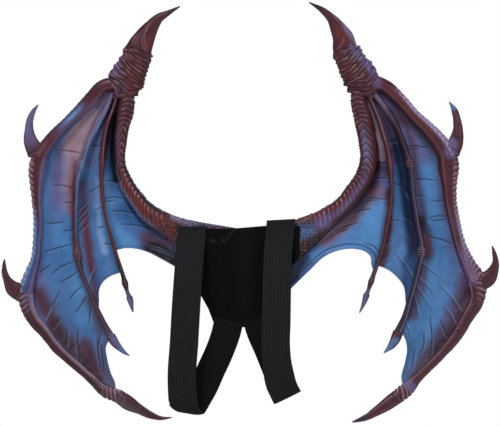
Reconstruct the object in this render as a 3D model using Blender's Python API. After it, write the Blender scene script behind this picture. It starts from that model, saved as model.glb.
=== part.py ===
"""A pair of moulded foam dragon wings on a cloth back panel with two elastic arm loops.

Tables and sizes are in millimetres; meshes are made in metres. +X is the viewer's right,
+Y points away from the viewer and +Z is up. The viewer looks at the side that lies on the
wearer's back, and the origin is the middle of the back panel's front face.
"""

from collections import namedtuple

import bpy
import numpy as np

MM = 0.001
FRONT = np.array([0.0, -1.0, 0.0])

# The clearance between pieces, and how far a cutter runs on past its chain's ends.
GAP = 0.3
CUTTER_OVERRUN = 1.5

# Thicknesses and widths of the sheet goods.
MEMBRANE = 3.0
PANEL_CLOTH = 3.0
PLATE_FOAM = 14.0
STRAP_WIDTH = 50.0
STRAP_CLOTH = 2.0
STRAP_SECTIONS = 32

# A membrane's thickness is measured along Y, so it grows on slopes, up to this many times.
STEEPEST = 1.7
# The power by which the free edge's scallop fades towards the wrist.
SCALLOP_FADE = 3
# Edges that turn by more than this many radians are shaded sharp.
SHARP_EDGE = 0.7

# Each row of a member is one section: centre x, z, y, then width across the wing, depth along Y.
LEFT = {
    "thumb_horn": (
        (-123, 476, -6, 2.0, 2),
        (-144, 465, 0, 9.7, 10),
        (-160, 456, 4, 16.7, 17),
        (-174, 440, 8, 26.4, 23),
        (-187, 419, 12, 38.7, 28),
        (-196, 400, 14, 47.5, 32),
    ),
    "wrist_wrap": (
        (-196, 400, 14, 49, 36),
        (-199, 388, 14, 50, 37),
        (-204, 376, 15, 52, 39),
        (-210, 364, 16, 58, 41),
        (-215, 353, 16, 63, 42),
        (-218, 341, 15, 62, 40),
        (-219.5, 329, 14, 54, 36),
        (-217, 317, 14, 39, 32),
    ),
    "arm": (
        (-217, 317, 14, 26, 27),
        (-219, 294, 14, 30, 28),
        (-225, 268, 15, 25.5, 27),
        (-228, 241, 16, 23, 26),
        (-230, 215, 17, 20, 25),
        (-229, 192, 18, 22, 26),
        (-222, 173, 19, 25.5, 28),
        (-214, 157, 19, 26.5, 29),
        (-200, 137, 18, 29, 30),
        (-184, 117, 16, 32, 29),
        (-160, 100, 13.5, 37, 25),
        (-127, 81, 11.5, 49, 15),
    ),
    "upper_spar": (
        (-243, 340, 15, 24.6, 22),
        (-257, 337, 16, 24.6, 21),
        (-277, 316, 19, 27.3, 20),
        (-301, 292, 24, 23.2, 18),
        (-327, 267, 30, 22.5, 18),
        (-345, 249, 35, 24, 20),
        (-360, 230, 39, 27.3, 23),
        (-370, 213, 42, 31.5, 25),
    ),
    "outer_spar": (
        (-370, 213, 42, 31.5, 25),
        (-377, 189, 44, 31, 24),
        (-378, 166, 46, 25.5, 20),
        (-378, 136, 49, 18, 16),
        (-376, 100, 52, 16.7, 15),
        (-377, 65, 55, 16.2, 15),
        (-381, 29, 58, 18, 17),
        (-388, 8, 60, 22, 20),
        (-394, -12, 61, 27.3, 23),
        (-398, -30, 61, 30, 25),
    ),
    "lower_spar": (
        (-398, -30, 61, 30, 25),
        (-396, -49, 60, 27.3, 22),
        (-387, -72, 58, 24.3, 19),
        (-366, -98, 54, 20.8, 17),
        (-340, -130, 49, 18, 15),
        (-313, -154, 44, 16.2, 14),
        (-279, -183, 37, 16.5, 15),
        (-257, -202, 32, 21.5, 18),
        (-232, -212, 26, 24.3, 20),
    ),
    "tip_claw": (
        (-232, -212, 26, 25, 21),
        (-212, -225, 23, 25.5, 19),
        (-197, -233, 21, 18.5, 15),
        (-176, -244, 17, 13.2, 10),
        (-159, -249, 13, 7.9, 6),
        (-138, -248, 8, 2, 2),
    ),
    "upper_claw": (
        (-374, 304, 22, 2, 2),
        (-383, 292, 27, 8.4, 7),
        (-389, 278, 31, 12, 11),
        (-391, 261, 35, 15.8, 15),
        (-389, 242, 38, 24.6, 19),
        (-378, 217, 42, 33, 22),
    ),
    "lower_claw": (
        (-435, 31, 40, 2, 2),
        (-436, 19, 46, 7.4, 7),
        (-435, 5, 51, 11.4, 11),
        (-430, -8, 55, 16.7, 15),
        (-422, -20, 58, 27.3, 19),
        (-404, -31, 61, 34, 22),
    ),
    "middle_finger": (
        (-243, 324, 14, 8.1, 10),
        (-252, 300, 15, 11, 12),
        (-268, 271, 17, 13, 13),
        (-283, 243, 20, 13, 13),
        (-293, 215, 22, 12.3, 12),
        (-301, 194, 24, 16.7, 15),
        (-305, 176, 26, 10.6, 11),
        (-308, 136, 28, 8.8, 10),
        (-309, 100, 30, 8.8, 10),
        (-308, 65, 31, 9.2, 10),
        (-305, 38, 32, 16.4, 15),
        (-301, 15, 32, 10.6, 11),
        (-292, -9, 32, 9.5, 10),
        (-280, -36, 31, 9.9, 11),
        (-269, -61, 30, 11, 12),
        (-258, -84, 28, 12.7, 13),
        (-246, -105, 26, 16.2, 15),
    ),
    "middle_claw": (
        (-246, -105, 26, 17, 16),
        (-239, -116, 23, 15.5, 13),
        (-231, -125, 20, 11.3, 10),
        (-222, -133, 16, 7, 6),
        (-213, -139, 12, 2, 2),
    ),
    "inner_finger": (
        (-234, 321, 13, 6.3, 9),
        (-242, 294, 12, 7.8, 10),
        (-250, 275, 12, 8.6, 10),
        (-256, 250, 13, 8.8, 10),
        (-259, 224, 14, 8.8, 10),
        (-261, 201, 15, 12, 13),
        (-262, 180, 16, 8.1, 9),
        (-261, 153, 17, 7.7, 9),
        (-256, 114, 19, 7.4, 8),
        (-245, 70, 20, 7.4, 8),
        (-235, 35, 20, 8.1, 8),
        (-224, 1, 19, 9.2, 9),
        (-220, -14, 18, 11.6, 12),
        (-216, -28, 17, 7.4, 8),
        (-213, -36, 16, 11.4, 11),
    ),
    "inner_claw": (
        (-213, -36, 16, 12.1, 12),
        (-210, -46, 14, 9.5, 9),
        (-208, -55, 11, 5.6, 5),
        (-206, -62, 8, 2, 2),
    ),
}

RIGHT = {
    "thumb_horn": (
        (104, 483, -6, 2, 2),
        (127, 470, 0, 10.6, 10),
        (143, 456, 4, 17.2, 17),
        (154, 440, 8, 27.3, 23),
        (164, 421, 12, 37.8, 28),
        (168, 402, 14, 44, 32),
    ),
    "wrist_wrap": (
        (168, 402, 14, 46, 36),
        (173, 390, 14, 51, 37),
        (179, 378, 15, 53, 39),
        (186, 366, 16, 58, 41),
        (193, 354, 16, 62, 42),
        (196, 342, 15, 63, 40),
        (195.5, 331, 14, 58, 36),
        (191, 321, 14, 40, 32),
    ),
    "arm": (
        (191, 321, 14, 26, 27),
        (192, 305, 14, 28.5, 28),
        (198, 284, 15, 31, 28),
        (203, 259, 16, 31, 28),
        (207, 233, 17, 30.5, 28),
        (209, 211, 18, 30, 28),
        (207, 192, 19, 31.5, 29),
        (200, 175, 19, 31.7, 29),
        (183, 149, 18, 32.6, 30),
        (163, 124, 16, 33, 29),
        (134, 102, 13.5, 39.6, 25),
        (87, 73, 11.8, 58, 15),
    ),
    "upper_spar": (
        (215, 346, 15, 24.6, 22),
        (238, 336, 16, 24.6, 21),
        (257, 320, 19, 23.2, 20),
        (292, 282, 24, 22.5, 18),
        (318, 257, 32, 26.4, 20),
        (336, 236, 38, 30.8, 23),
        (349, 213, 42, 36, 25),
    ),
    "outer_spar": (
        (349, 213, 42, 36, 25),
        (352, 191, 44, 36.6, 25),
        (353, 171, 46, 29.6, 21),
        (354, 153, 48, 24.6, 18),
        (355, 136, 49, 23, 17),
        (359, 113, 51, 21, 16),
        (364, 90, 53, 20.4, 16),
        (370, 65, 56, 20.4, 16),
        (378, 42, 58, 23, 18),
        (390, 17, 60, 28, 21),
        (402, -8, 61, 35, 24),
    ),
    "lower_spar": (
        (402, -8, 61, 35, 24),
        (405, -30, 61, 29, 23),
        (401, -49, 60, 25.7, 20),
        (391, -65, 57, 23, 18),
        (366, -107, 53, 19.4, 16),
        (332, -146, 48, 16.2, 14),
        (295, -182, 40, 17.6, 15),
        (277, -200, 34, 25.5, 18),
        (262, -211, 28, 24.6, 20),
    ),
    "tip_claw": (
        (262, -211, 28, 25.7, 21),
        (244, -224, 24, 23.2, 18),
        (224, -237, 20, 17.2, 14),
        (205, -248, 15, 11.4, 9),
        (190, -253, 11, 6.7, 5),
        (180, -256, 8, 2, 2),
    ),
    "upper_claw": (
        (352, 309, 22, 2, 2),
        (361, 295, 27, 10.6, 8),
        (366, 279, 31, 14, 12),
        (368, 261, 35, 17.6, 16),
        (365, 240, 38, 26.4, 20),
        (356, 219, 42, 33, 22),
    ),
    "lower_claw": (
        (429, 54, 40, 2, 2),
        (433, 42, 46, 7.4, 7),
        (436, 27, 51, 11.3, 11),
        (433, 12, 55, 18.3, 15),
        (424, -2, 58, 29, 19),
        (407, -12, 61, 34, 22),
    ),
    "middle_finger": (
        (212, 333, 14, 8.8, 10),
        (226, 314, 15, 11, 12),
        (240, 294, 16, 12.3, 13),
        (256, 270, 19, 13, 13),
        (268, 242, 21, 12.3, 12),
        (276, 219, 23, 11.6, 12),
        (282, 201, 24, 15.1, 14),
        (285, 178, 26, 9.9, 10),
        (287, 150, 28, 9.7, 10),
        (292, 118, 30, 9.9, 10),
        (297, 86, 31, 10.6, 11),
        (302, 60, 32, 12.3, 12),
        (303, 44, 32, 16.2, 15),
        (300, 24, 32, 10.6, 11),
        (294, -2, 32, 9.9, 10),
        (287, -27, 31, 10.6, 11),
        (280, -50, 30, 12.3, 12),
        (274, -71, 28, 13.7, 13),
        (262, -98, 26, 18.3, 15),
    ),
    "middle_claw": (
        (262, -98, 26, 19.4, 16),
        (256, -112, 23, 17.2, 13),
        (250, -121, 20, 13.4, 10),
        (243, -128, 16, 7.7, 6),
        (236, -134, 12, 2, 2),
    ),
    "inner_finger": (
        (203, 328, 13, 6.3, 9),
        (215, 305, 12, 7.8, 10),
        (226, 278, 12, 8.4, 10),
        (235, 248, 13, 8.4, 10),
        (242, 226, 14, 8.4, 10),
        (246, 201, 15, 11.6, 13),
        (248, 178, 16, 8.1, 9),
        (250, 150, 17, 8.1, 9),
        (248, 125, 18, 8.4, 9),
        (243, 97, 19, 9.5, 9),
        (238, 68, 20, 8.1, 8),
        (232, 44, 20, 8.1, 8),
        (225, 23, 20, 8.8, 8),
        (218, 3, 19, 9.9, 9),
        (213, -11, 18, 11.6, 12),
        (209, -23, 17, 7.7, 8),
        (206, -31, 16, 11.4, 11),
    ),
    "inner_claw": (
        (206, -31, 16, 12.1, 12),
        (202, -43, 14, 9.2, 9),
        (198, -53, 11, 5.6, 5),
        (193, -63, 8, 2, 2),
    ),
}

# How a member is lofted. Folds are crests and grooves that alternate from section to
# section; groove is how far a groove sinks, as a share of the section, and slant and
# chevron tilt or bend each fold along the member. Slant is the left wing's; the right
# wing's is mirrored. A steady member's sections turn evenly, however its centre line swings.
Form = namedtuple(
    "Form", "sections sides groove slant chevron steady", defaults=(0.0, 0.0, 0.0, False)
)
FORMS = {
    "thumb_horn": Form(8, 10),
    "wrist_wrap": Form(19, 10, 0.1, -4.0, 0.0, True),
    "arm": Form(37, 10, 0.09, 0.0, 3.5),
    "upper_spar": Form(8, 8),
    "outer_spar": Form(11, 8),
    "lower_spar": Form(10, 8),
    "tip_claw": Form(8, 8),
    "upper_claw": Form(8, 8),
    "lower_claw": Form(8, 8),
    "middle_finger": Form(21, 6),
    "middle_claw": Form(6, 6),
    "inner_finger": Form(19, 6),
    "inner_claw": Form(5, 6),
}

# Members that follow one another along one smooth centre line.
CHAINS = {
    "limb": ("thumb_horn", "wrist_wrap", "arm"),
    "edge": ("upper_spar", "outer_spar", "lower_spar", "tip_claw"),
    "middle": ("middle_finger", "middle_claw"),
    "inner": ("inner_finger", "inner_claw"),
    "upper_hook": ("upper_claw",),
    "lower_hook": ("lower_claw",),
}

# A membrane hangs between two chains. For each: the heights where it starts and ends on
# them, then the points of its scalloped free edge (x, z) from the first chain to the
# second. Valleys are how far it sinks behind its edges, from the wrist end to the free
# edge, and lean above 1 moves the valley's bottom towards the second chain.
Membrane = namedtuple(
    "Membrane", "first second first_z second_z free_edge valleys lean columns rows root_edge", defaults=((),)
)
LEFT_PANELS = {
    "outer_panel": Membrane(
        "edge", "middle", (338, -209), (322, -106),
        ((-238, -192), (-247, -169), (-253, -144), (-255, -126)),
        (3, 14, 20, 24, 22, 12), 1.0, 6, 16,
    ),
    "middle_panel": Membrane(
        "middle", "inner", (312, -64), (312, 8),
        ((-267, -43), (-267, -25), (-261, -11), (-248, 0)),
        (3, 14, 20, 20, 16, 8), 0.8, 5, 14,
    ),
    "inner_panel": Membrane(
        "inner", "limb", (308, 46), (308, 92),
        ((-223, 50), (-205, 50), (-182, 44), (-154, 30)),
        (3, 16, 22, 20, 14, 6), 1.25, 7, 12,
        ((-136, 60, 11), (-112, 6, 11)),
    ),
}
RIGHT_PANELS = {
    "outer_panel": Membrane(
        "edge", "middle", (343, -203), (330, -93),
        ((268, -179), (274, -154), (278, -130), (275, -112)),
        (3, 14, 20, 24, 22, 12), 1.0, 6, 16,
    ),
    "middle_panel": Membrane(
        "middle", "inner", (324, -64), (322, 20),
        ((275, -41), (272, -18), (260, -1), (244, 12)),
        (3, 16, 24, 24, 18, 8), 0.8, 5, 14,
    ),
    "inner_panel": Membrane(
        "inner", "limb", (313, 6), (313, 84),
        ((214, 23), (213, 35), (204, 44), (185, 49), (159, 47), (132, 36), (106, 12)),
        (3, 12, 18, 20, 14, 6), 1.2, 9, 12,
        ((95, 52, 11), (78, 40, 11), (62, 24, 11), (61, -32, 11)),
    ),
}

# Outlines (x, z), each taken round once, clockwise as the viewer sees it.
LEFT_PLATE = (
    (-114, 102), (-78, 95), (-23, 86), (-34, 10), (-49, -79), (-67, -72), (-72, -46), (-88, -32),
    (-116, 9), (-139, 59),
)
RIGHT_PLATE = (
    (23, 86), (71, 98), (102, 48), (84, 38), (70, 28), (69, 0), (66, -41), (60, -76), (49, -79),
    (34, 10),
)
BACK_PANEL = (
    (-106, 86), (-64, 85), (-23, 86), (25, 90), (88, 90), (86, 33), (72, 16), (69, -23), (53, -58),
    (21, -90), (-62, -86), (-74, -55), (-87, -32), (-102, -9), (-106, 33),
)

# A strap's centre line x, z, y and the lean of its width in degrees, from the seam at the
# panel's top, down the front, round the fold and back up to the seam at the panel's foot.
LEFT_STRAP = (
    (-102, 89, -1.4, 0), (-103, 72, -3.5, 0), (-105, 48, -16, 0), (-108, 4, -34, 0),
    (-111, -40, -42, 0), (-115, -111, -45, 0), (-119, -181, -41, 0), (-116, -221, -33, -5),
    (-111, -238, -22, -10), (-100, -222, -13, -20), (-83, -195, -12, -25), (-69, -164, -12, -25),
    (-56, -136, -11, -24), (-43, -101, -6, -20), (-37, -76, -1.4, -14),
)
RIGHT_STRAP = (
    (55, 101, -1.4, 3), (52, 74, -3.5, 0), (49, 39, -18, 0), (47, -14, -36, 0), (46, -76, -44, 0),
    (45, -120, -45, 0), (48, -155, -42, 5), (56, -191, -34, 18), (66, -211, -22, 26),
    (58, -193, -13, 25), (50, -171, -12, 24), (33, -128, -12, 22), (18, -93, -5, 20),
    (12, -72, -1.4, 18),
)

# Base colour, roughness and the nodes that wear it.
FINISHES = {
    "maroon_foam": ((0.115, 0.035, 0.045), 0.35),
    "blue_membrane": ((0.06, 0.17, 0.40), 0.45),
    "claw_foam": ((0.075, 0.045, 0.06), 0.3),
    "black_cloth": ((0.006, 0.006, 0.007), 0.95),
    "elastic_webbing": ((0.02, 0.021, 0.024), 0.85),
}


def smooth(rows, count, before=None, after=None):
    """Sections evenly spaced along the smooth curve through the rows, and its directions.

    A row before or after is the neighbouring member's, so that both bend as one.
    """
    own = np.array(rows, float)
    ahead = [] if before is None else [before]
    behind = [] if after is None else [after]
    path = np.array([row[:3] for row in (*ahead, *rows, *behind)], float)
    along = np.concatenate([[0.0], np.cumsum(np.linalg.norm(np.diff(path, axis=0), axis=1))])
    slope = np.gradient(path, along, axis=0)
    kept = slice(len(ahead), len(ahead) + len(own))
    along = along[kept]
    slope = np.hstack([slope[kept], np.gradient(own[:, 3:], along, axis=0)])

    at = np.linspace(along[0], along[-1], count)
    low = np.clip(np.searchsorted(along, at, side="right") - 1, 0, len(along) - 2)
    span = (along[low + 1] - along[low])[:, None]
    t = (at[:, None] - along[low][:, None]) / span
    start, end = own[low], own[low + 1]
    leave, arrive = slope[low] * span, slope[low + 1] * span
    values = (
        start * (1 + 2 * t) * (1 - t) ** 2
        + leave * t * (1 - t) ** 2
        + end * t**2 * (3 - 2 * t)
        + arrive * t**2 * (t - 1)
    )
    turns = (end - start) * 6 * t * (1 - t) + leave * (1 - t) * (1 - 3 * t) + arrive * t * (3 * t - 2)
    return values, (turns / np.linalg.norm(turns, axis=1)[:, None])[:, [0, 2, 1]]


def rings(sections, directions, form, grow=0.0):
    """The points of each section, in an ellipse across the member's direction."""
    count = len(sections)
    angle = np.arange(form.sides) * 2 * np.pi / form.sides
    place = np.arange(count)
    swell = np.where(place % 2 == 1, 1 - form.groove, 1.0)
    fade = np.sin(np.pi * place / (count - 1))
    across = np.cross(directions, FRONT)
    across /= np.linalg.norm(across, axis=1)[:, None]
    facing = np.cross(across, directions)
    half_width = (sections[:, 3] / 2 * swell + grow)[:, None, None]
    half_depth = (sections[:, 4] / 2 * swell + grow)[:, None, None]
    shift = form.slant * np.cos(angle) + form.chevron * (np.abs(np.cos(angle)) - 0.5)
    return (
        sections[:, None, [0, 2, 1]]
        + across[:, None] * half_width * np.cos(angle)[None, :, None]
        + facing[:, None] * half_depth * np.sin(angle)[None, :, None]
        + directions[:, None] * (fade[:, None] * shift[None, :])[:, :, None]
    )


def material(finish):
    """The finish's material, made once."""
    found = bpy.data.materials.get(finish)
    if found:
        return found
    made = bpy.data.materials.new(finish)
    made.use_nodes = True
    colour, roughness = FINISHES[finish]
    shader = made.node_tree.nodes["Principled BSDF"]
    shader.inputs["Base Color"].default_value = (*colour, 1.0)
    shader.inputs["Roughness"].default_value = roughness
    shader.inputs["Metallic"].default_value = 0.0
    made.diffuse_color = (*colour, 1.0)
    return made


def solid(name, points, faces, finish):
    """An object from points in millimetres, shaded smooth but for its sharp edges."""
    mesh = bpy.data.meshes.new(name)
    mesh.from_pydata([tuple(point) for point in np.asarray(points) * MM], [], faces)
    mesh.materials.append(material(finish))
    mesh.shade_smooth()
    mesh.set_sharp_from_angle(angle=SHARP_EDGE)
    made = bpy.data.objects.new(name, mesh)
    bpy.context.scene.collection.objects.link(made)
    return made


def loft(name, ring_points, finish):
    """A closed tube through the rings, with a flat cap on each end."""
    count, sides = ring_points.shape[:2]
    faces = []
    for ring in range(count - 1):
        for side in range(sides):
            after = (side + 1) % sides
            low, high = ring * sides, (ring + 1) * sides
            faces.append((low + side, high + side, high + after))
            faces.append((low + side, high + after, low + after))
    faces.append(tuple(range(sides)))
    faces.append(tuple(reversed(range((count - 1) * sides, count * sides))))
    return solid(name, ring_points.reshape(-1, 3), faces, finish)


def grown(outline, by):
    """The outline moved outwards, its corners kept sharp."""
    corners = np.array(outline, float)
    ahead = np.roll(corners, -1, axis=0) - corners
    ahead /= np.linalg.norm(ahead, axis=1)[:, None]
    behind = np.roll(ahead, 1, axis=0)
    outward = (ahead + behind)[:, [1, 0]] * (-1, 1)
    return corners + by * outward / (1 + np.sum(ahead * behind, axis=1))[:, None]


def slab(name, outline, front, thickness, finish):
    """A plate of even thickness with the outline given."""
    count = len(outline)
    near = [(x, front, z) for x, z in reversed(outline)]
    far = [(x, front + thickness, z) for x, z in reversed(outline)]
    faces = [tuple(range(count)), tuple(reversed(range(count, 2 * count)))]
    for edge in range(count):
        after = (edge + 1) % count
        faces.append((edge, count + edge, count + after, after))
    return solid(name, near + far, faces, finish)


def cut(target, cutter):
    """Takes the hidden cutter out of the target."""
    modifier = target.modifiers.new("cut_by_" + cutter.name, "BOOLEAN")
    modifier.operation = "DIFFERENCE"
    modifier.solver = "EXACT"
    modifier.object = cutter


def hidden(made):
    """Turns an object into a cutter that isn't part of the wings."""
    made.hide_render = True
    made.display_type = "WIRE"
    return made


def build_chain(prefix, table, names, finish, mirror):
    """The members of one chain. Returns its centre line and its fattened cutter."""
    spine, fattened, ways = [], [], []
    for place, name in enumerate(names):
        form = FORMS[name]._replace(slant=FORMS[name].slant * mirror)
        before = table[names[place - 1]][-2][:3] if place else None
        after = table[names[place + 1]][1][:3] if place + 1 < len(names) else None
        sections, directions = smooth(table[name], form.sections, before, after)
        if form.steady:
            turn = np.linspace(0, 1, form.sections)[:, None]
            directions = directions[0] * (1 - turn) + directions[-1] * turn
            directions /= np.linalg.norm(directions, axis=1)[:, None]
        spine.append(sections[:, :3])
        ways.append(directions)
        fattened.append(rings(sections, directions, form, GAP))
        ends = sections.copy()
        if place:
            ends[0, [0, 2, 1]] += directions[0] * GAP / 2
        if place + 1 < len(names):
            ends[-1, [0, 2, 1]] -= directions[-1] * GAP / 2
        loft(prefix + name, rings(ends, directions, form), finish[name])
    fattened.insert(0, fattened[0][:1] - ways[0][0] * CUTTER_OVERRUN)
    fattened.append(fattened[-1][-1:] + ways[-1][-1] * CUTTER_OVERRUN)
    return np.vstack(spine), np.vstack(fattened)


def stretch_of(spine, top, foot, count, root_edge=()):
    """Evenly spaced points of a centre line between two heights, then along the root edge."""
    fine = np.linspace(0, len(spine) - 1, 40 * len(spine))
    line = np.column_stack([np.interp(fine, np.arange(len(spine)), spine[:, k]) for k in range(3)])
    line = line[(line[:, 1] <= top) & (line[:, 1] >= foot)]
    if root_edge:
        line = np.vstack([line, np.array(root_edge, float)])
    return even(line, count)


def even(line, count):
    """The line read again at evenly spaced points."""
    along = np.concatenate([[0.0], np.cumsum(np.linalg.norm(np.diff(line, axis=0), axis=1))])
    at = np.linspace(0, along[-1], count)
    return np.column_stack([np.interp(at, along, line[:, k]) for k in range(line.shape[1])])


def membrane(name, shape, spines):
    """A thin sheet between two chains, sunk into a valley, with its scalloped free edge."""
    columns, rows = shape.columns + 1, shape.rows + 1
    first = stretch_of(spines[shape.first], *shape.first_z, rows)
    second = stretch_of(spines[shape.second], *shape.second_z, rows, shape.root_edge)
    scallop = np.array(
        [(x, z, 0.0) for x, z in (first[-1, :2], *shape.free_edge, second[-1, :2])], float
    )
    scallop[:, 2] = np.linspace(first[-1, 2], second[-1, 2], len(scallop))
    edge = even(smooth(scallop, 8 * columns)[0], columns)

    u = np.linspace(0, 1, columns)[:, None]
    grid = np.empty((rows, columns, 3))
    drop = np.interp(np.linspace(0, 1, rows), np.linspace(0, 1, len(shape.valleys)), shape.valleys)
    for row, v in enumerate(np.linspace(0, 1, rows)):
        straight = first[row] * (1 - u) + second[row] * u
        last = first[-1] * (1 - u) + second[-1] * u
        grid[row] = straight + (edge - last) * v**SCALLOP_FADE
        grid[row, :, 2] += drop[row] * np.sin(np.pi * u[:, 0] ** shape.lean)

    steep = np.hypot(*(np.gradient(grid[:, :, 2], axis=k) / spacing(grid, k) for k in (0, 1)))
    half = MEMBRANE / 2 * np.minimum(np.sqrt(1 + steep**2), STEEPEST)
    half[:, [0, -1]] = MEMBRANE / 2
    near, far = grid[:, :, [0, 2, 1]].copy(), grid[:, :, [0, 2, 1]].copy()
    near[:, :, 1] -= half
    far[:, :, 1] += half
    return sheet(name, near, far)


def spacing(grid, axis):
    """How far apart neighbouring points lie across the wing, along one way of the grid."""
    steps = np.gradient(grid[:, :, :2], axis=axis)
    return np.maximum(np.hypot(steps[:, :, 0], steps[:, :, 1]), 1.0)


def sheet(name, near, far):
    """A closed sheet between a near and a far grid of points."""
    rows, columns = near.shape[:2]
    index = np.arange(rows * columns).reshape(rows, columns)
    faces = []
    for row in range(rows - 1):
        for column in range(columns - 1):
            corners = (
                index[row, column],
                index[row + 1, column],
                index[row + 1, column + 1],
                index[row, column + 1],
            )
            faces.append(tuple(int(corner) for corner in corners))
            faces.append(tuple(int(corner) + rows * columns for corner in reversed(corners)))
    border = [*index[:, 0], *index[-1, 1:], *index[-2::-1, -1], *index[0, -2:0:-1]]
    for start, end in zip(border, border[1:] + border[:1], strict=True):
        faces.append(
            (int(end), int(start), int(start) + rows * columns, int(end) + rows * columns)
        )
    points = np.vstack([near.reshape(-1, 3), far.reshape(-1, 3)])
    (a, b, _, d) = faces[0]
    turn = np.cross(points[b] - points[a], points[d] - points[a])
    if turn[1] > 0:
        faces = [tuple(reversed(face)) for face in faces]
    return solid(name, points, faces, "blue_membrane")


def build_strap(name, rows):
    """A flat strap along its centre line, its width level or leaning as the table says."""
    sections, directions = smooth([(x, z, y, lean) for x, z, y, lean in rows], STRAP_SECTIONS)
    lean = np.radians(sections[:, 3])
    width = np.column_stack([np.cos(lean), np.zeros(len(lean)), np.sin(lean)])
    normal = np.cross(directions, width)
    slant = np.linalg.norm(normal, axis=1)[:, None]
    normal /= slant
    reach = width * STRAP_WIDTH / 2 / np.maximum(slant, 0.8)
    centre = sections[:, [0, 2, 1]]
    lift = normal * STRAP_CLOTH / 2
    corners = np.stack(
        [centre + reach + lift, centre + reach - lift, centre - reach - lift, centre - reach + lift],
        axis=1,
    )
    return loft(name, corners, "elastic_webbing")


def build_wing(prefix, table, panels, plate, mirror):
    """One wing: its members, its three membranes and the plate at its root."""
    finish = {name: "claw_foam" if "claw" in name else "maroon_foam" for name in FORMS}
    spines, cutters = {}, {}
    for chain, names in CHAINS.items():
        spines[chain], fattened = build_chain(prefix, table, names, finish, mirror)
        cutters[chain] = hidden(loft(prefix + chain + "_cutter", fattened, "maroon_foam"))
    part = bpy.data.objects
    for name in ("upper_spar", "middle_finger", "inner_finger"):
        cut(part[prefix + name], cutters["limb"])
    for name in ("upper_claw", "lower_claw"):
        cut(part[prefix + name], cutters["edge"])
    slab(prefix + "root_plate", plate, PANEL_CLOTH + GAP, PLATE_FOAM, "maroon_foam")
    root_cutter = hidden(
        slab(prefix + "root_cutter", grown(plate, GAP), -PLATE_FOAM, 4 * PLATE_FOAM, "maroon_foam")
    )
    for name, shape in panels.items():
        made = membrane(prefix + name, shape, spines)
        for chain in dict.fromkeys((shape.first, shape.second, "limb")):
            cut(made, cutters[chain])
    cut(part[prefix + "inner_panel"], root_cutter)


def main():
    for old in list(bpy.data.objects):
        bpy.data.objects.remove(old)
    build_wing("left_", LEFT, LEFT_PANELS, LEFT_PLATE, 1)
    build_wing("right_", RIGHT, RIGHT_PANELS, RIGHT_PLATE, -1)
    slab("back_panel", BACK_PANEL, 0.0, PANEL_CLOTH, "black_cloth")
    build_strap("left_strap", LEFT_STRAP)
    build_strap("right_strap", RIGHT_STRAP)


main()
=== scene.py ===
"""Looks of a pair of moulded foam dragon wings on a cloth back panel with two arm loops.

Tables are in millimetres: x to the viewer's right, z up, y away from the viewer. Strokes of
paint, creases and veins are given on the maker's drawing, where one unit is 1.76 mm, x runs to
the right and y runs down, as the wings are seen from the front.
"""

import logging
import math
from dataclasses import dataclass
from enum import Enum
from functools import cache
from itertools import product

import bpy
import numpy as np
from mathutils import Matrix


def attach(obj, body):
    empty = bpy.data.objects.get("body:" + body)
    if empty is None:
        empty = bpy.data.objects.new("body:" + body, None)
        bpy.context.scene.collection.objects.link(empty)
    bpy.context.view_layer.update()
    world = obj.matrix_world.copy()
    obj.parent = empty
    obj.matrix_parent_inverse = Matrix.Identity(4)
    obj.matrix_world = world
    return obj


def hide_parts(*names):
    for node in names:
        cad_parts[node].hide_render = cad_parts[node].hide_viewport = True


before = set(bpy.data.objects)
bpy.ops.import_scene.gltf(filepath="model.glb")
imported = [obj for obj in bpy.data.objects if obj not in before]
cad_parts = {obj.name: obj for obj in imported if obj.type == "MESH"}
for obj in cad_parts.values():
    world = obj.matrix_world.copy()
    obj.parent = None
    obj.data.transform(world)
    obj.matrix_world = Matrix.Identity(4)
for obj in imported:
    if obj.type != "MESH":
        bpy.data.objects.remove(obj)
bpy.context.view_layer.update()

LOG = logging.getLogger("dragon_wings")
Array = np.ndarray
Colour = tuple[float, float, float]
Place = tuple[float, float, float]
Faces = list[tuple[int, ...]]
Points = tuple[tuple[float, ...], ...]
Triple = tuple[Array, Array, Array]

MM = 0.001
FRONT = np.array([0.0, -1.0, 0.0])
# Turns rows of x, z, y into points x, y, z, and back.
SWAP = [0, 2, 1]
FAR = 1e9

# The drawing: millimetres a unit, the unit that lies over x = 0 and z = DRAWING_RISE, and how far
# off the drawing's eye stands.
DRAWING_STEP = 1.76
DRAWING_MIDDLE = (250.0, 213.0)
DRAWING_RISE = 112.64
EYE_DISTANCE = 6000.0

# Large odd numbers that turn a cell's place and a seed into a fixed number.
SEED_STEP = 2654435761
SEED_START = 12345
CELL_STEPS = (73856093, 19349663, 83492791)
MIXER = 6364136223846793005


class Slot(Enum):
    """The record's names for what the pieces are made of."""

    FOAM = "maroon_foam"
    CLAW = "claw_foam"
    MEMBRANE = "blue_membrane"
    CLOTH = "black_cloth"
    WEBBING = "elastic_webbing"


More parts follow.
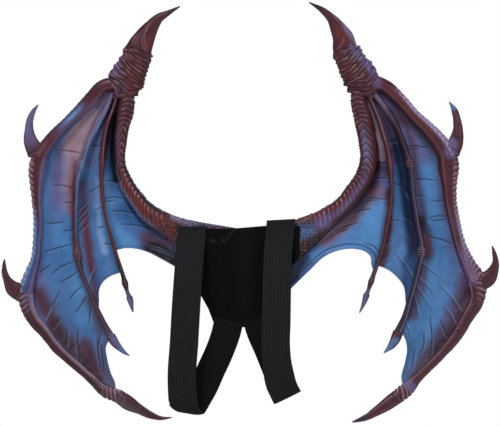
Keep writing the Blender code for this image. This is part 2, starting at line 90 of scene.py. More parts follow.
# Each row of a member is one section: centre x, z, y, then width across the wing, depth along Y.
LEFT = {
    "thumb_horn": (
        (-123, 476, -6, 2.0, 2), (-144, 465, 0, 9.7, 10), (-160, 456, 4, 16.7, 17),
        (-174, 440, 8, 26.4, 23), (-187, 419, 12, 38.7, 28), (-196, 400, 14, 47.5, 32),
    ),
    "wrist_wrap": (
        (-196, 400, 14, 49, 36), (-199, 388, 14, 50, 37), (-204, 376, 15, 52, 39),
        (-210, 364, 16, 58, 41), (-215, 353, 16, 63, 42), (-218, 341, 15, 62, 40),
        (-219.5, 329, 14, 54, 36), (-217, 317, 14, 39, 32),
    ),
    "arm": (
        (-217, 317, 14, 26, 27), (-219, 294, 14, 30, 28), (-225, 268, 15, 25.5, 27),
        (-228, 241, 16, 23, 26), (-230, 215, 17, 20, 25), (-229, 192, 18, 22, 26),
        (-222, 173, 19, 25.5, 28), (-214, 157, 19, 26.5, 29), (-200, 137, 18, 29, 30),
        (-184, 117, 16, 32, 29), (-160, 100, 13.5, 37, 25), (-127, 81, 11.5, 49, 15),
    ),
    "upper_spar": (
        (-243, 340, 15, 24.6, 22), (-257, 337, 16, 24.6, 21), (-277, 316, 19, 27.3, 20),
        (-301, 292, 24, 23.2, 18), (-327, 267, 30, 22.5, 18), (-345, 249, 35, 24, 20),
        (-360, 230, 39, 27.3, 23), (-370, 213, 42, 31.5, 25),
    ),
    "outer_spar": (
        (-370, 213, 42, 31.5, 25), (-377, 189, 44, 31, 24), (-378, 166, 46, 25.5, 20),
        (-378, 136, 49, 18, 16), (-376, 100, 52, 16.7, 15), (-377, 65, 55, 16.2, 15),
        (-381, 29, 58, 18, 17), (-388, 8, 60, 22, 20), (-394, -12, 61, 27.3, 23),
        (-398, -30, 61, 30, 25),
    ),
    "lower_spar": (
        (-398, -30, 61, 30, 25), (-396, -49, 60, 27.3, 22), (-387, -72, 58, 24.3, 19),
        (-366, -98, 54, 20.8, 17), (-340, -130, 49, 18, 15), (-313, -154, 44, 16.2, 14),
        (-279, -183, 37, 16.5, 15), (-257, -202, 32, 21.5, 18), (-232, -212, 26, 24.3, 20),
    ),
    "tip_claw": (
        (-232, -212, 26, 25, 21), (-212, -225, 23, 25.5, 19), (-197, -233, 21, 18.5, 15),
        (-176, -244, 17, 13.2, 10), (-159, -249, 13, 7.9, 6), (-138, -248, 8, 2, 2),
    ),
    "upper_claw": (
        (-374, 304, 22, 2, 2), (-383, 292, 27, 8.4, 7), (-389, 278, 31, 12, 11),
        (-391, 261, 35, 15.8, 15), (-389, 242, 38, 24.6, 19), (-378, 217, 42, 33, 22),
    ),
    "lower_claw": (
        (-435, 31, 40, 2, 2), (-436, 19, 46, 7.4, 7), (-435, 5, 51, 11.4, 11), (-430, -8, 55, 16.7, 15),
        (-422, -20, 58, 27.3, 19), (-404, -31, 61, 34, 22),
    ),
    "middle_finger": (
        (-243, 324, 14, 8.1, 10), (-252, 300, 15, 11, 12), (-268, 271, 17, 13, 13),
        (-283, 243, 20, 13, 13), (-293, 215, 22, 12.3, 12), (-301, 194, 24, 16.7, 15),
        (-305, 176, 26, 10.6, 11), (-308, 136, 28, 8.8, 10), (-309, 100, 30, 8.8, 10),
        (-308, 65, 31, 9.2, 10), (-305, 38, 32, 16.4, 15), (-301, 15, 32, 10.6, 11),
        (-292, -9, 32, 9.5, 10), (-280, -36, 31, 9.9, 11), (-269, -61, 30, 11, 12),
        (-258, -84, 28, 12.7, 13), (-246, -105, 26, 16.2, 15),
    ),
    "middle_claw": (
        (-246, -105, 26, 17, 16), (-239, -116, 23, 15.5, 13), (-231, -125, 20, 11.3, 10),
        (-222, -133, 16, 7, 6), (-213, -139, 12, 2, 2),
    ),
    "inner_finger": (
        (-234, 321, 13, 6.3, 9), (-242, 294, 12, 7.8, 10), (-250, 275, 12, 8.6, 10),
        (-256, 250, 13, 8.8, 10), (-259, 224, 14, 8.8, 10), (-261, 201, 15, 12, 13),
        (-262, 180, 16, 8.1, 9), (-261, 153, 17, 7.7, 9), (-256, 114, 19, 7.4, 8),
        (-245, 70, 20, 7.4, 8), (-235, 35, 20, 8.1, 8), (-224, 1, 19, 9.2, 9),
        (-220, -14, 18, 11.6, 12), (-216, -28, 17, 7.4, 8), (-213, -36, 16, 11.4, 11),
    ),
    "inner_claw": (
        (-213, -36, 16, 12.1, 12), (-210, -46, 14, 9.5, 9), (-208, -55, 11, 5.6, 5),
        (-206, -62, 8, 2, 2),
    ),
}

RIGHT = {
    "thumb_horn": (
        (104, 483, -6, 2, 2), (127, 470, 0, 10.6, 10), (143, 456, 4, 17.2, 17), (154, 440, 8, 27.3, 23),
        (164, 421, 12, 37.8, 28), (168, 402, 14, 44, 32),
    ),
    "wrist_wrap": (
        (168, 402, 14, 46, 36), (173, 390, 14, 51, 37), (179, 378, 15, 53, 39), (186, 366, 16, 58, 41),
        (193, 354, 16, 62, 42), (196, 342, 15, 63, 40), (195.5, 331, 14, 58, 36),
        (191, 321, 14, 40, 32),
    ),
    "arm": (
        (191, 321, 14, 26, 27), (192, 305, 14, 28.5, 28), (198, 284, 15, 31, 28),
        (203, 259, 16, 31, 28), (207, 233, 17, 30.5, 28), (209, 211, 18, 30, 28),
        (207, 192, 19, 31.5, 29), (200, 175, 19, 31.7, 29), (183, 149, 18, 32.6, 30),
        (163, 124, 16, 33, 29), (134, 102, 13.5, 39.6, 25), (87, 73, 11.8, 58, 15),
    ),
    "upper_spar": (
        (215, 346, 15, 24.6, 22), (238, 336, 16, 24.6, 21), (257, 320, 19, 23.2, 20),
        (292, 282, 24, 22.5, 18), (318, 257, 32, 26.4, 20), (336, 236, 38, 30.8, 23),
        (349, 213, 42, 36, 25),
    ),
    "outer_spar": (
        (349, 213, 42, 36, 25), (352, 191, 44, 36.6, 25), (353, 171, 46, 29.6, 21),
        (354, 153, 48, 24.6, 18), (355, 136, 49, 23, 17), (359, 113, 51, 21, 16),
        (364, 90, 53, 20.4, 16), (370, 65, 56, 20.4, 16), (378, 42, 58, 23, 18), (390, 17, 60, 28, 21),
        (402, -8, 61, 35, 24),
    ),
    "lower_spar": (
        (402, -8, 61, 35, 24), (405, -30, 61, 29, 23), (401, -49, 60, 25.7, 20), (391, -65, 57, 23, 18),
        (366, -107, 53, 19.4, 16), (332, -146, 48, 16.2, 14), (295, -182, 40, 17.6, 15),
        (277, -200, 34, 25.5, 18), (262, -211, 28, 24.6, 20),
    ),
    "tip_claw": (
        (262, -211, 28, 25.7, 21), (244, -224, 24, 23.2, 18), (224, -237, 20, 17.2, 14),
        (205, -248, 15, 11.4, 9), (190, -253, 11, 6.7, 5), (180, -256, 8, 2, 2),
    ),
    "upper_claw": (
        (352, 309, 22, 2, 2), (361, 295, 27, 10.6, 8), (366, 279, 31, 14, 12), (368, 261, 35, 17.6, 16),
        (365, 240, 38, 26.4, 20), (356, 219, 42, 33, 22),
    ),
    "lower_claw": (
        (429, 54, 40, 2, 2), (433, 42, 46, 7.4, 7), (436, 27, 51, 11.3, 11), (433, 12, 55, 18.3, 15),
        (424, -2, 58, 29, 19), (407, -12, 61, 34, 22),
    ),
    "middle_finger": (
        (212, 333, 14, 8.8, 10), (226, 314, 15, 11, 12), (240, 294, 16, 12.3, 13),
        (256, 270, 19, 13, 13), (268, 242, 21, 12.3, 12), (276, 219, 23, 11.6, 12),
        (282, 201, 24, 15.1, 14), (285, 178, 26, 9.9, 10), (287, 150, 28, 9.7, 10),
        (292, 118, 30, 9.9, 10), (297, 86, 31, 10.6, 11), (302, 60, 32, 12.3, 12),
        (303, 44, 32, 16.2, 15), (300, 24, 32, 10.6, 11), (294, -2, 32, 9.9, 10),
        (287, -27, 31, 10.6, 11), (280, -50, 30, 12.3, 12), (274, -71, 28, 13.7, 13),
        (262, -98, 26, 18.3, 15),
    ),
    "middle_claw": (
        (262, -98, 26, 19.4, 16), (256, -112, 23, 17.2, 13), (250, -121, 20, 13.4, 10),
        (243, -128, 16, 7.7, 6), (236, -134, 12, 2, 2),
    ),
    "inner_finger": (
        (203, 328, 13, 6.3, 9), (215, 305, 12, 7.8, 10), (226, 278, 12, 8.4, 10),
        (235, 248, 13, 8.4, 10), (242, 226, 14, 8.4, 10), (246, 201, 15, 11.6, 13),
        (248, 178, 16, 8.1, 9), (250, 150, 17, 8.1, 9), (248, 125, 18, 8.4, 9), (243, 97, 19, 9.5, 9),
        (238, 68, 20, 8.1, 8), (232, 44, 20, 8.1, 8), (225, 23, 20, 8.8, 8), (218, 3, 19, 9.9, 9),
        (213, -11, 18, 11.6, 12), (209, -23, 17, 7.7, 8), (206, -31, 16, 11.4, 11),
    ),
    "inner_claw": (
        (206, -31, 16, 12.1, 12), (202, -43, 14, 9.2, 9), (198, -53, 11, 5.6, 5), (193, -63, 8, 2, 2),
    ),
}


@dataclass(frozen=True)
class Membrane:
    """One stretch of membrane between two chains of members.

    First_z and second_z are the heights where it starts and ends on them. Free_edge has the
    points (x, z) of its scalloped edge from the first chain to the second, and root_edge the
    points that carry on the second chain. Valleys are how far it sinks behind its edges, from the
    wrist end to the free edge, and a lean above 1 moves the valley's bottom towards the second
    chain. Hem is how far the pressed line lies from the free edge.
    """

    first: str
    second: str
    first_z: tuple[float, float]
    second_z: tuple[float, float]
    free_edge: Points
    valleys: tuple[float, ...]
    lean: float
    root_edge: Points = ()
    hem: float = 4.0


LEFT_PANELS = {
    "outer_panel": Membrane(
        "edge", "middle", (345, -209), (340, -106),
        ((-238, -192), (-247, -169), (-253, -144), (-255, -126)),
        (3, 14, 20, 24, 22, 12), 1.0,
    ),
    "middle_panel": Membrane(
        "middle", "inner", (330, -64), (330, 8),
        ((-267, -43), (-267, -25), (-261, -11), (-248, 0)),
        (3, 14, 20, 20, 16, 8), 0.8,
    ),
    "inner_panel": Membrane(
        "inner", "limb", (328, 46), (330, 92),
        ((-223, 50), (-205, 50), (-182, 44), (-154, 30)),
        (3, 16, 22, 20, 14, 6), 1.25,
        ((-136, 60, 11), (-112, 6, 11)),
    ),
}
RIGHT_PANELS = {
    "outer_panel": Membrane(
        "edge", "middle", (350, -203), (346, -93),
        ((268, -179), (274, -154), (278, -130), (275, -112)),
        (3, 14, 20, 24, 22, 12), 1.0,
    ),
    "middle_panel": Membrane(
        "middle", "inner", (340, -64), (338, 20),
        ((275, -41), (272, -18), (260, -1), (244, 12)),
        (3, 16, 24, 24, 18, 8), 0.8,
    ),
    "inner_panel": Membrane(
        "inner", "limb", (334, 6), (334, 84),
        ((214, 23), (213, 35), (204, 44), (185, 49), (159, 47), (132, 36), (106, 12)),
        (3, 12, 18, 20, 14, 6), 1.2,
        ((95, 52, 11), (78, 40, 11), (62, 24, 11), (61, -32, 11)), 8.5,
    ),
}

# Outlines (x, z), each taken round once, clockwise as the viewer sees it.
LEFT_PLATE = (
    (-114, 102), (-78, 95), (-23, 86), (-34, 10), (-49, -79), (-67, -72), (-72, -46), (-88, -32),
    (-116, 9), (-139, 59),
)
RIGHT_PLATE = (
    (23, 86), (71, 98), (102, 48), (84, 38), (70, 28), (69, 0), (66, -41), (60, -76), (49, -79),
    (34, 10),
)
BACK_PANEL = (
    (-106, 86), (-64, 85), (-23, 86), (25, 90), (88, 90), (86, 33), (72, 16), (69, -23), (53, -58),
    (21, -90), (-62, -86), (-74, -55), (-87, -32), (-102, -9), (-106, 33),
)

# A strap's centre line x, z, y and the lean of its width in degrees, from the seam at the
# panel's top, down the front, round the fold and back up to the seam at the panel's foot.
LEFT_STRAP = (
    (-102, 89, -1.4, 0), (-103, 72, -3.5, 0), (-105, 48, -16, 0), (-108, 4, -34, 0),
    (-111, -40, -42, 0), (-115, -111, -45, 0), (-119, -181, -41, 0), (-116, -221, -33, -5),
    (-111, -238, -22, -10), (-100, -222, -13, -20), (-83, -195, -12, -25), (-69, -164, -12, -25),
    (-56, -136, -11, -24), (-43, -101, -6, -20), (-37, -76, -1.4, -14),
)
RIGHT_STRAP = (
    (55, 101, -1.4, 3), (52, 74, -3.5, 0), (49, 39, -18, 0), (47, -14, -36, 0), (46, -76, -44, 0),
    (45, -120, -45, 0), (48, -155, -42, 5), (56, -191, -34, 18), (66, -211, -22, 26),
    (58, -193, -13, 25), (50, -171, -12, 24), (33, -128, -12, 22), (18, -93, -5, 20),
    (12, -72, -1.4, 18),
)


# The flap's seam on the panel, on the drawing.
FLAP_SEAM = ((205, 238.5), (220.5, 243.5), (228, 237), (235, 229))


class Paint(Enum):
    """The painter's colours, as screen values from 0 to 255."""

    MAROON = (72, 30, 40)
    DEEP_MAROON = (52, 24, 34)
    WINE = (24, 13, 17)
    RUST = (108, 42, 40)
    PLUM = (78, 52, 72)
    ROSE_GREY = (156, 130, 142)
    DUSTY_ROSE = (130, 85, 92)
    VIOLET = (104, 96, 145)
    PALE_VIOLET = (140, 132, 176)
    SLATE = (92, 96, 135)
    BLUE = (76, 116, 168)
    BRIGHT_BLUE = (80, 134, 188)
    PALE_BLUE = (142, 168, 208)
    DEEP_BLUE = (48, 84, 138)
    NAVY = (28, 36, 66)
    INK = (33, 33, 55)
    BLACK = (12, 12, 14)

    def linear(self) -> Array:
        """The colour as light, from 0 to 1."""
        return light_of(self.value)


(
    MAROON, DEEP_MAROON, WINE, RUST, PLUM, ROSE_GREY, DUSTY_ROSE, VIOLET, PALE_VIOLET, SLATE,
    BLUE, BRIGHT_BLUE, PALE_BLUE, DEEP_BLUE, NAVY, INK, BLACK,
) = Paint


def light_of(screen: Colour) -> Array:
    """A screen colour's linear light.

    Args:
        screen: Red, green and blue from 0 to 255.

    Returns:
        The three amounts of light from 0 to 1.
    """
    value = np.array(screen, float) / 255
    return np.where(value <= 0.04045, value / 12.92, ((value + 0.055) / 1.055) ** 2.4)


def opaque(screen: Colour) -> tuple[float, ...]:
    """A screen colour's linear light with full cover."""
    return (*light_of(screen), 1.0)


@dataclass(frozen=True)
class Stroke:
    """One stroke of the airbrush on the drawing.

    The full colour covers width millimetres, and fades out over soft millimetres on each side.
    """

    paint: Paint
    width: float
    soft: float
    strength: float
    line: Points


@dataclass(frozen=True)
class Trim:
    """Paint along one side of a member.

    It covers the sides from low to high, where 1 is outside and -1 inside the wing, over the
    share of the member's length from start to stop.
    """

    paint: Paint
    low: float
    high: float
    start: float
    stop: float
    strength: float
    side_fade: float = 0.18
    end_fade: float = 0.12

    def cover(self, skin: "Skin") -> Array:
        """How much of each point the trim covers.

        Args:
            skin: The member's skin.

        Returns:
            The cover from 0 to 1.
        """
        share = skin.along / skin.length
        over = ramp(skin.side, self.low - self.side_fade, self.low + self.side_fade)
        over = over * (1 - ramp(skin.side, self.high - self.side_fade, self.high + self.side_fade))
        over = over * ramp(share, self.start - self.end_fade, self.start + self.end_fade)
        over = over * (1 - ramp(share, self.stop - self.end_fade, self.stop + self.end_fade))
        return self.strength * np.broadcast_to(over, skin.points.shape[:2])


def strokes(*rows: tuple) -> tuple[Stroke, ...]:
    """Strokes from rows of paint, width, soft, strength and the line's corners."""
    return tuple(Stroke(*row[:4], tuple(row[4:])) for row in rows)


def trims(**members: tuple) -> dict[str, tuple[Trim, ...]]:
    """Each member's trims from rows of paint, low, high, start, stop and strength."""
    return {name: tuple(Trim(*row) for row in rows) for name, rows in members.items()}


class Relief(Enum):
    """How a member's surface is sculpted: the method of Skin that does it."""

    HORN = "horn"
    CLAW = "claw"
    WRAP = "wrap"
    ARM = "arm"
    RIDGED = "ridged"
    RIBBED = "ribbed"
    KEELED = "keeled"
    KNOTTED = "knotted"


@dataclass(frozen=True)
class Member:
    """One kind of horn, spar, arm or finger: its relief, and how fine its mesh is."""

    relief: Relief
    step: float
    sides: int
    tip_first: bool = False


MEMBERS = {
    "thumb_horn": Member(Relief.HORN, 1.6, 64, tip_first=True),
    "wrist_wrap": Member(Relief.WRAP, 1.1, 112),
    "arm": Member(Relief.ARM, 1.15, 80),
    "upper_spar": Member(Relief.RIDGED, 1.4, 64),
    "outer_spar": Member(Relief.RIBBED, 1.4, 64),
    "lower_spar": Member(Relief.KEELED, 1.6, 56),
    "tip_claw": Member(Relief.CLAW, 1.4, 48),
    "upper_claw": Member(Relief.CLAW, 1.4, 48, tip_first=True),
    "lower_claw": Member(Relief.CLAW, 1.4, 48, tip_first=True),
    "middle_finger": Member(Relief.KNOTTED, 1.4, 32),
    "middle_claw": Member(Relief.CLAW, 1.0, 32),
    "inner_finger": Member(Relief.KNOTTED, 1.4, 28),
    "inner_claw": Member(Relief.CLAW, 1.0, 28),
}

CHAINS = {
    "limb": ("thumb_horn", "wrist_wrap", "arm"),
    "edge": ("upper_spar", "outer_spar", "lower_spar", "tip_claw"),
    "middle": ("middle_finger", "middle_claw"),
    "inner": ("inner_finger", "inner_claw"),
    "upper_hook": ("upper_claw",),
    "lower_hook": ("lower_claw",),
}


# Curves and noise


def smooth(
    rows: Points, count: int, before: Array | None = None, after: Array | None = None
) -> tuple[Array, Array]:
    """Sections evenly spaced along the smooth curve through the rows.

    Args:
        rows: Rows of x, z, y and any further values.
        count: How many sections to make.
        before: The neighbouring member's last place but one, so that both bend as one.
        after: The next member's second place.

    Returns:
        The sections, and their directions as x, y, z.
    """
    own = np.array(rows, float)
    ahead = [] if before is None else [before]
    behind = [] if after is None else [after]
    path = np.array([row[:3] for row in (*ahead, *rows, *behind)], float)
    along = lengths(path)
    slope = np.gradient(path, along, axis=0)
    kept = slice(len(ahead), len(ahead) + len(own))
    along = along[kept]
    slope = np.hstack([slope[kept], np.gradient(own[:, 3:], along, axis=0)])
    at = np.linspace(along[0], along[-1], count)
    low = np.clip(np.searchsorted(along, at, side="right") - 1, 0, len(along) - 2)
    span = (along[low + 1] - along[low])[:, None]
    t = (at[:, None] - along[low][:, None]) / span
    start, end = own[low], own[low + 1]
    leave, arrive = slope[low] * span, slope[low + 1] * span
    values = (
        start * (1 + 2 * t) * (1 - t) ** 2
        + leave * t * (1 - t) ** 2
        + end * t**2 * (3 - 2 * t)
        + arrive * t**2 * (t - 1)
    )
    turns = (end - start) * 6 * t * (1 - t) + leave * (1 - t) * (1 - 3 * t) + arrive * t * (3 * t - 2)
    turns /= np.linalg.norm(turns, axis=1)[:, None]
    return values, turns[:, SWAP]


def lengths(line: Array) -> Array:
    """How far along the line each of its points lies."""
    steps = np.linalg.norm(np.diff(line[:, :3], axis=0), axis=1)
    return np.concatenate([[0.0], np.cumsum(steps)])


def even(line: Array, count: int) -> Array:
    """The line read again at evenly spaced points.

    Args:
        line: Points along the line.
        count: How many points to read.

    Returns:
        The new points.
    """
    along = lengths(line)
    at = np.linspace(0, along[-1], count)
    return np.column_stack([np.interp(at, along, line[:, k]) for k in range(line.shape[1])])


def even_round(corners: Points, count: int) -> Array:
    """Evenly spaced points round a closed outline, each taken once."""
    return even(np.array([*corners, corners[0]], float), count + 1)[:-1]


def scattered(homes: Array, seed: int) -> Array:
    """A fixed number for each cell.

    Args:
        homes: The cells' places as whole numbers, their last axis the coordinates.
        seed: Which scatter it is.

    Returns:
        The numbers from 0 to 1.
    """
    mixed = np.full(homes.shape[:-1], seed * SEED_STEP + SEED_START, dtype=np.uint64)
    for axis, step in zip(range(homes.shape[-1]), CELL_STEPS):
        mixed ^= homes[..., axis].astype(np.int64).astype(np.uint64) * np.uint64(step)
        mixed *= np.uint64(MIXER)
        mixed ^= mixed >> np.uint64(29)
    return ((mixed >> np.uint64(20)) & np.uint64(0xFFFFF)).astype(float) / 0xFFFFF


def lumps(points: Array, size: float, seed: int) -> Array:
    """Smooth noise from -1 to 1 with lumps of about the size given.

    Args:
        points: Points in millimetres, their last axis the coordinates.
        size: The distance between lumps.
        seed: Which noise it is.

    Returns:
        The noise at each point.
    """
    cell = points / size
    low = np.floor(cell)
    t = cell - low
    t = t * t * (3 - 2 * t)
    low = low.astype(np.int64)
    total = np.zeros(points.shape[:-1])
    for corner in product((0, 1), repeat=points.shape[-1]):
        weight = np.prod(np.where(corner, t, 1 - t), axis=-1)
        total += weight * scattered(low + np.array(corner), seed)
    return 2 * total - 1


def cells(points: Array, size: float, seed: int) -> Array:
    """Domed cells: 0 at the borders between scattered cells, up to 1 in their middles.

    Args:
        points: Flat points, two coordinates each, in millimetres.
        size: The distance between cells.
        seed: Which scatter it is.

    Returns:
        The height of the dome at each point.
    """
    scatter, steepness = 0.7, 1.4
    cell = points / size
    low = np.floor(cell).astype(np.int64)
    nearest = np.full(points.shape[:-1], FAR)
    second = np.full(points.shape[:-1], FAR)
    for step in product((-1, 0, 1), repeat=2):
        home = low + np.array(step)
        place = np.stack([scattered(home, seed), scattered(home, seed + 1)], axis=-1)
        away = np.linalg.norm(cell - (home + 0.5 + scatter * (place - 0.5)), axis=-1)
        second = np.minimum(second, np.maximum(away, nearest))
        nearest = np.minimum(nearest, away)
    return np.clip((second - nearest) * steepness, 0, 1)


def ramp(value: Array, low: float | Array, high: float | Array) -> Array:
    """A smooth step from 0 at low to 1 at high."""
    t = np.clip((value - low) / (high - low), 0, 1)
    return t * t * (3 - 2 * t)


def domes(phase: Array, roundness: float = 0.6) -> Array:
    """Rounded crests with sharp grooves at whole numbers."""
    return np.abs(np.sin(np.pi * phase)) ** roundness


def folds(way: Array, pitch: float, roundness: float) -> Array:
    """Rounded folds across the way, one each pitch."""
    return domes(way / pitch, roundness)


def line_at(value: Array, middle: float | Array, width: float) -> Array:
    """A soft line: 1 where the value is at the middle, falling off over the width."""
    return np.exp(-(((value - middle) / width) ** 2))


def drawing(points: Array) -> Array:
    """Where points lie on the drawing.

    Args:
        points: Points x, y, z in millimetres.

    Returns:
        Their places x, y on the drawing.
    """
    scale = DRAWING_STEP * (1 + points[..., 1] / EYE_DISTANCE)
    across = DRAWING_MIDDLE[0] + points[..., 0] / scale
    down = DRAWING_MIDDLE[1] - (points[..., 2] - DRAWING_RISE) / scale
    return np.stack([across, down], axis=-1)


def reach(spots: Array, line: Points) -> Triple:
    """How spots lie by a line on the drawing.

    Args:
        spots: Places on the drawing.
        line: The line's corners.

    Returns:
        The distance, how far above (negative) or below the line, and the share of the way along.
    """
    corners = np.array(line, float)
    along = lengths(corners)
    best = np.full(spots.shape[:-1], FAR)
    below = np.zeros_like(best)
    share = np.zeros_like(best)
    for start, end, done, total in zip(corners, corners[1:], along, np.diff(along)):
        way = end - start
        t = np.clip((spots - start) @ way / (way @ way), 0, 1)
        gap = spots - start - t[..., None] * way
        away = np.linalg.norm(gap, axis=-1)
        nearer = away < best
        best = np.where(nearer, away, best)
        side = np.sign(gap[..., 1] * abs(way[0]) - gap[..., 0] * way[1] * np.sign(way[0] or 1))
        below = np.where(nearer, side * away, below)
        share = np.where(nearer, (done + t * total) / along[-1], share)
    return best, below, share


def coated(points: Array, paint: Paint) -> Array:
    """The first coat on each point: one paint, a little uneven.

    Args:
        points: Points in millimetres.
        paint: The paint.

    Returns:
        Linear colours.
    """
    unevenness = 0.07 * lumps(points, 5.0, 9)
    return paint.linear() * (1 + unevenness)[..., None]


def covered(colour: Array, paint: Paint, cover: Array) -> Array:
    """The colour of each point once a paint covers it by a share."""
    cover = cover[..., None]
    return colour * (1 - cover) + paint.linear() * cover


def painted(points: Array, colour: Array, strokes: tuple[Stroke, ...]) -> Array:
    """The paint on each point once every stroke has been laid.

    Args:
        points: Points in millimetres.
        colour: The colours that are there already.
        strokes: The strokes, in order.

    Returns:
        Linear colours.
    """
    spots = drawing(points)
    low, high = spots.reshape(-1, 2).min(axis=0), spots.reshape(-1, 2).max(axis=0)
    wobble = 1 + 0.25 * lumps(points, 14.0, 5)
    for stroke in strokes:
        line = np.array(stroke.line, float)
        margin = stroke.width / 2 + 1.3 * stroke.soft
        if (line.max(axis=0) < low - margin).any() or (line.min(axis=0) > high + margin).any():
            continue
        away = reach(spots, stroke.line)[0] * wobble
        cover = 1 - ramp(away, stroke.width / 2 - 0.3 * stroke.soft, stroke.width / 2 + stroke.soft)
        colour = covered(colour, stroke.paint, stroke.strength * cover)
    return colour


# Reliefs of the members


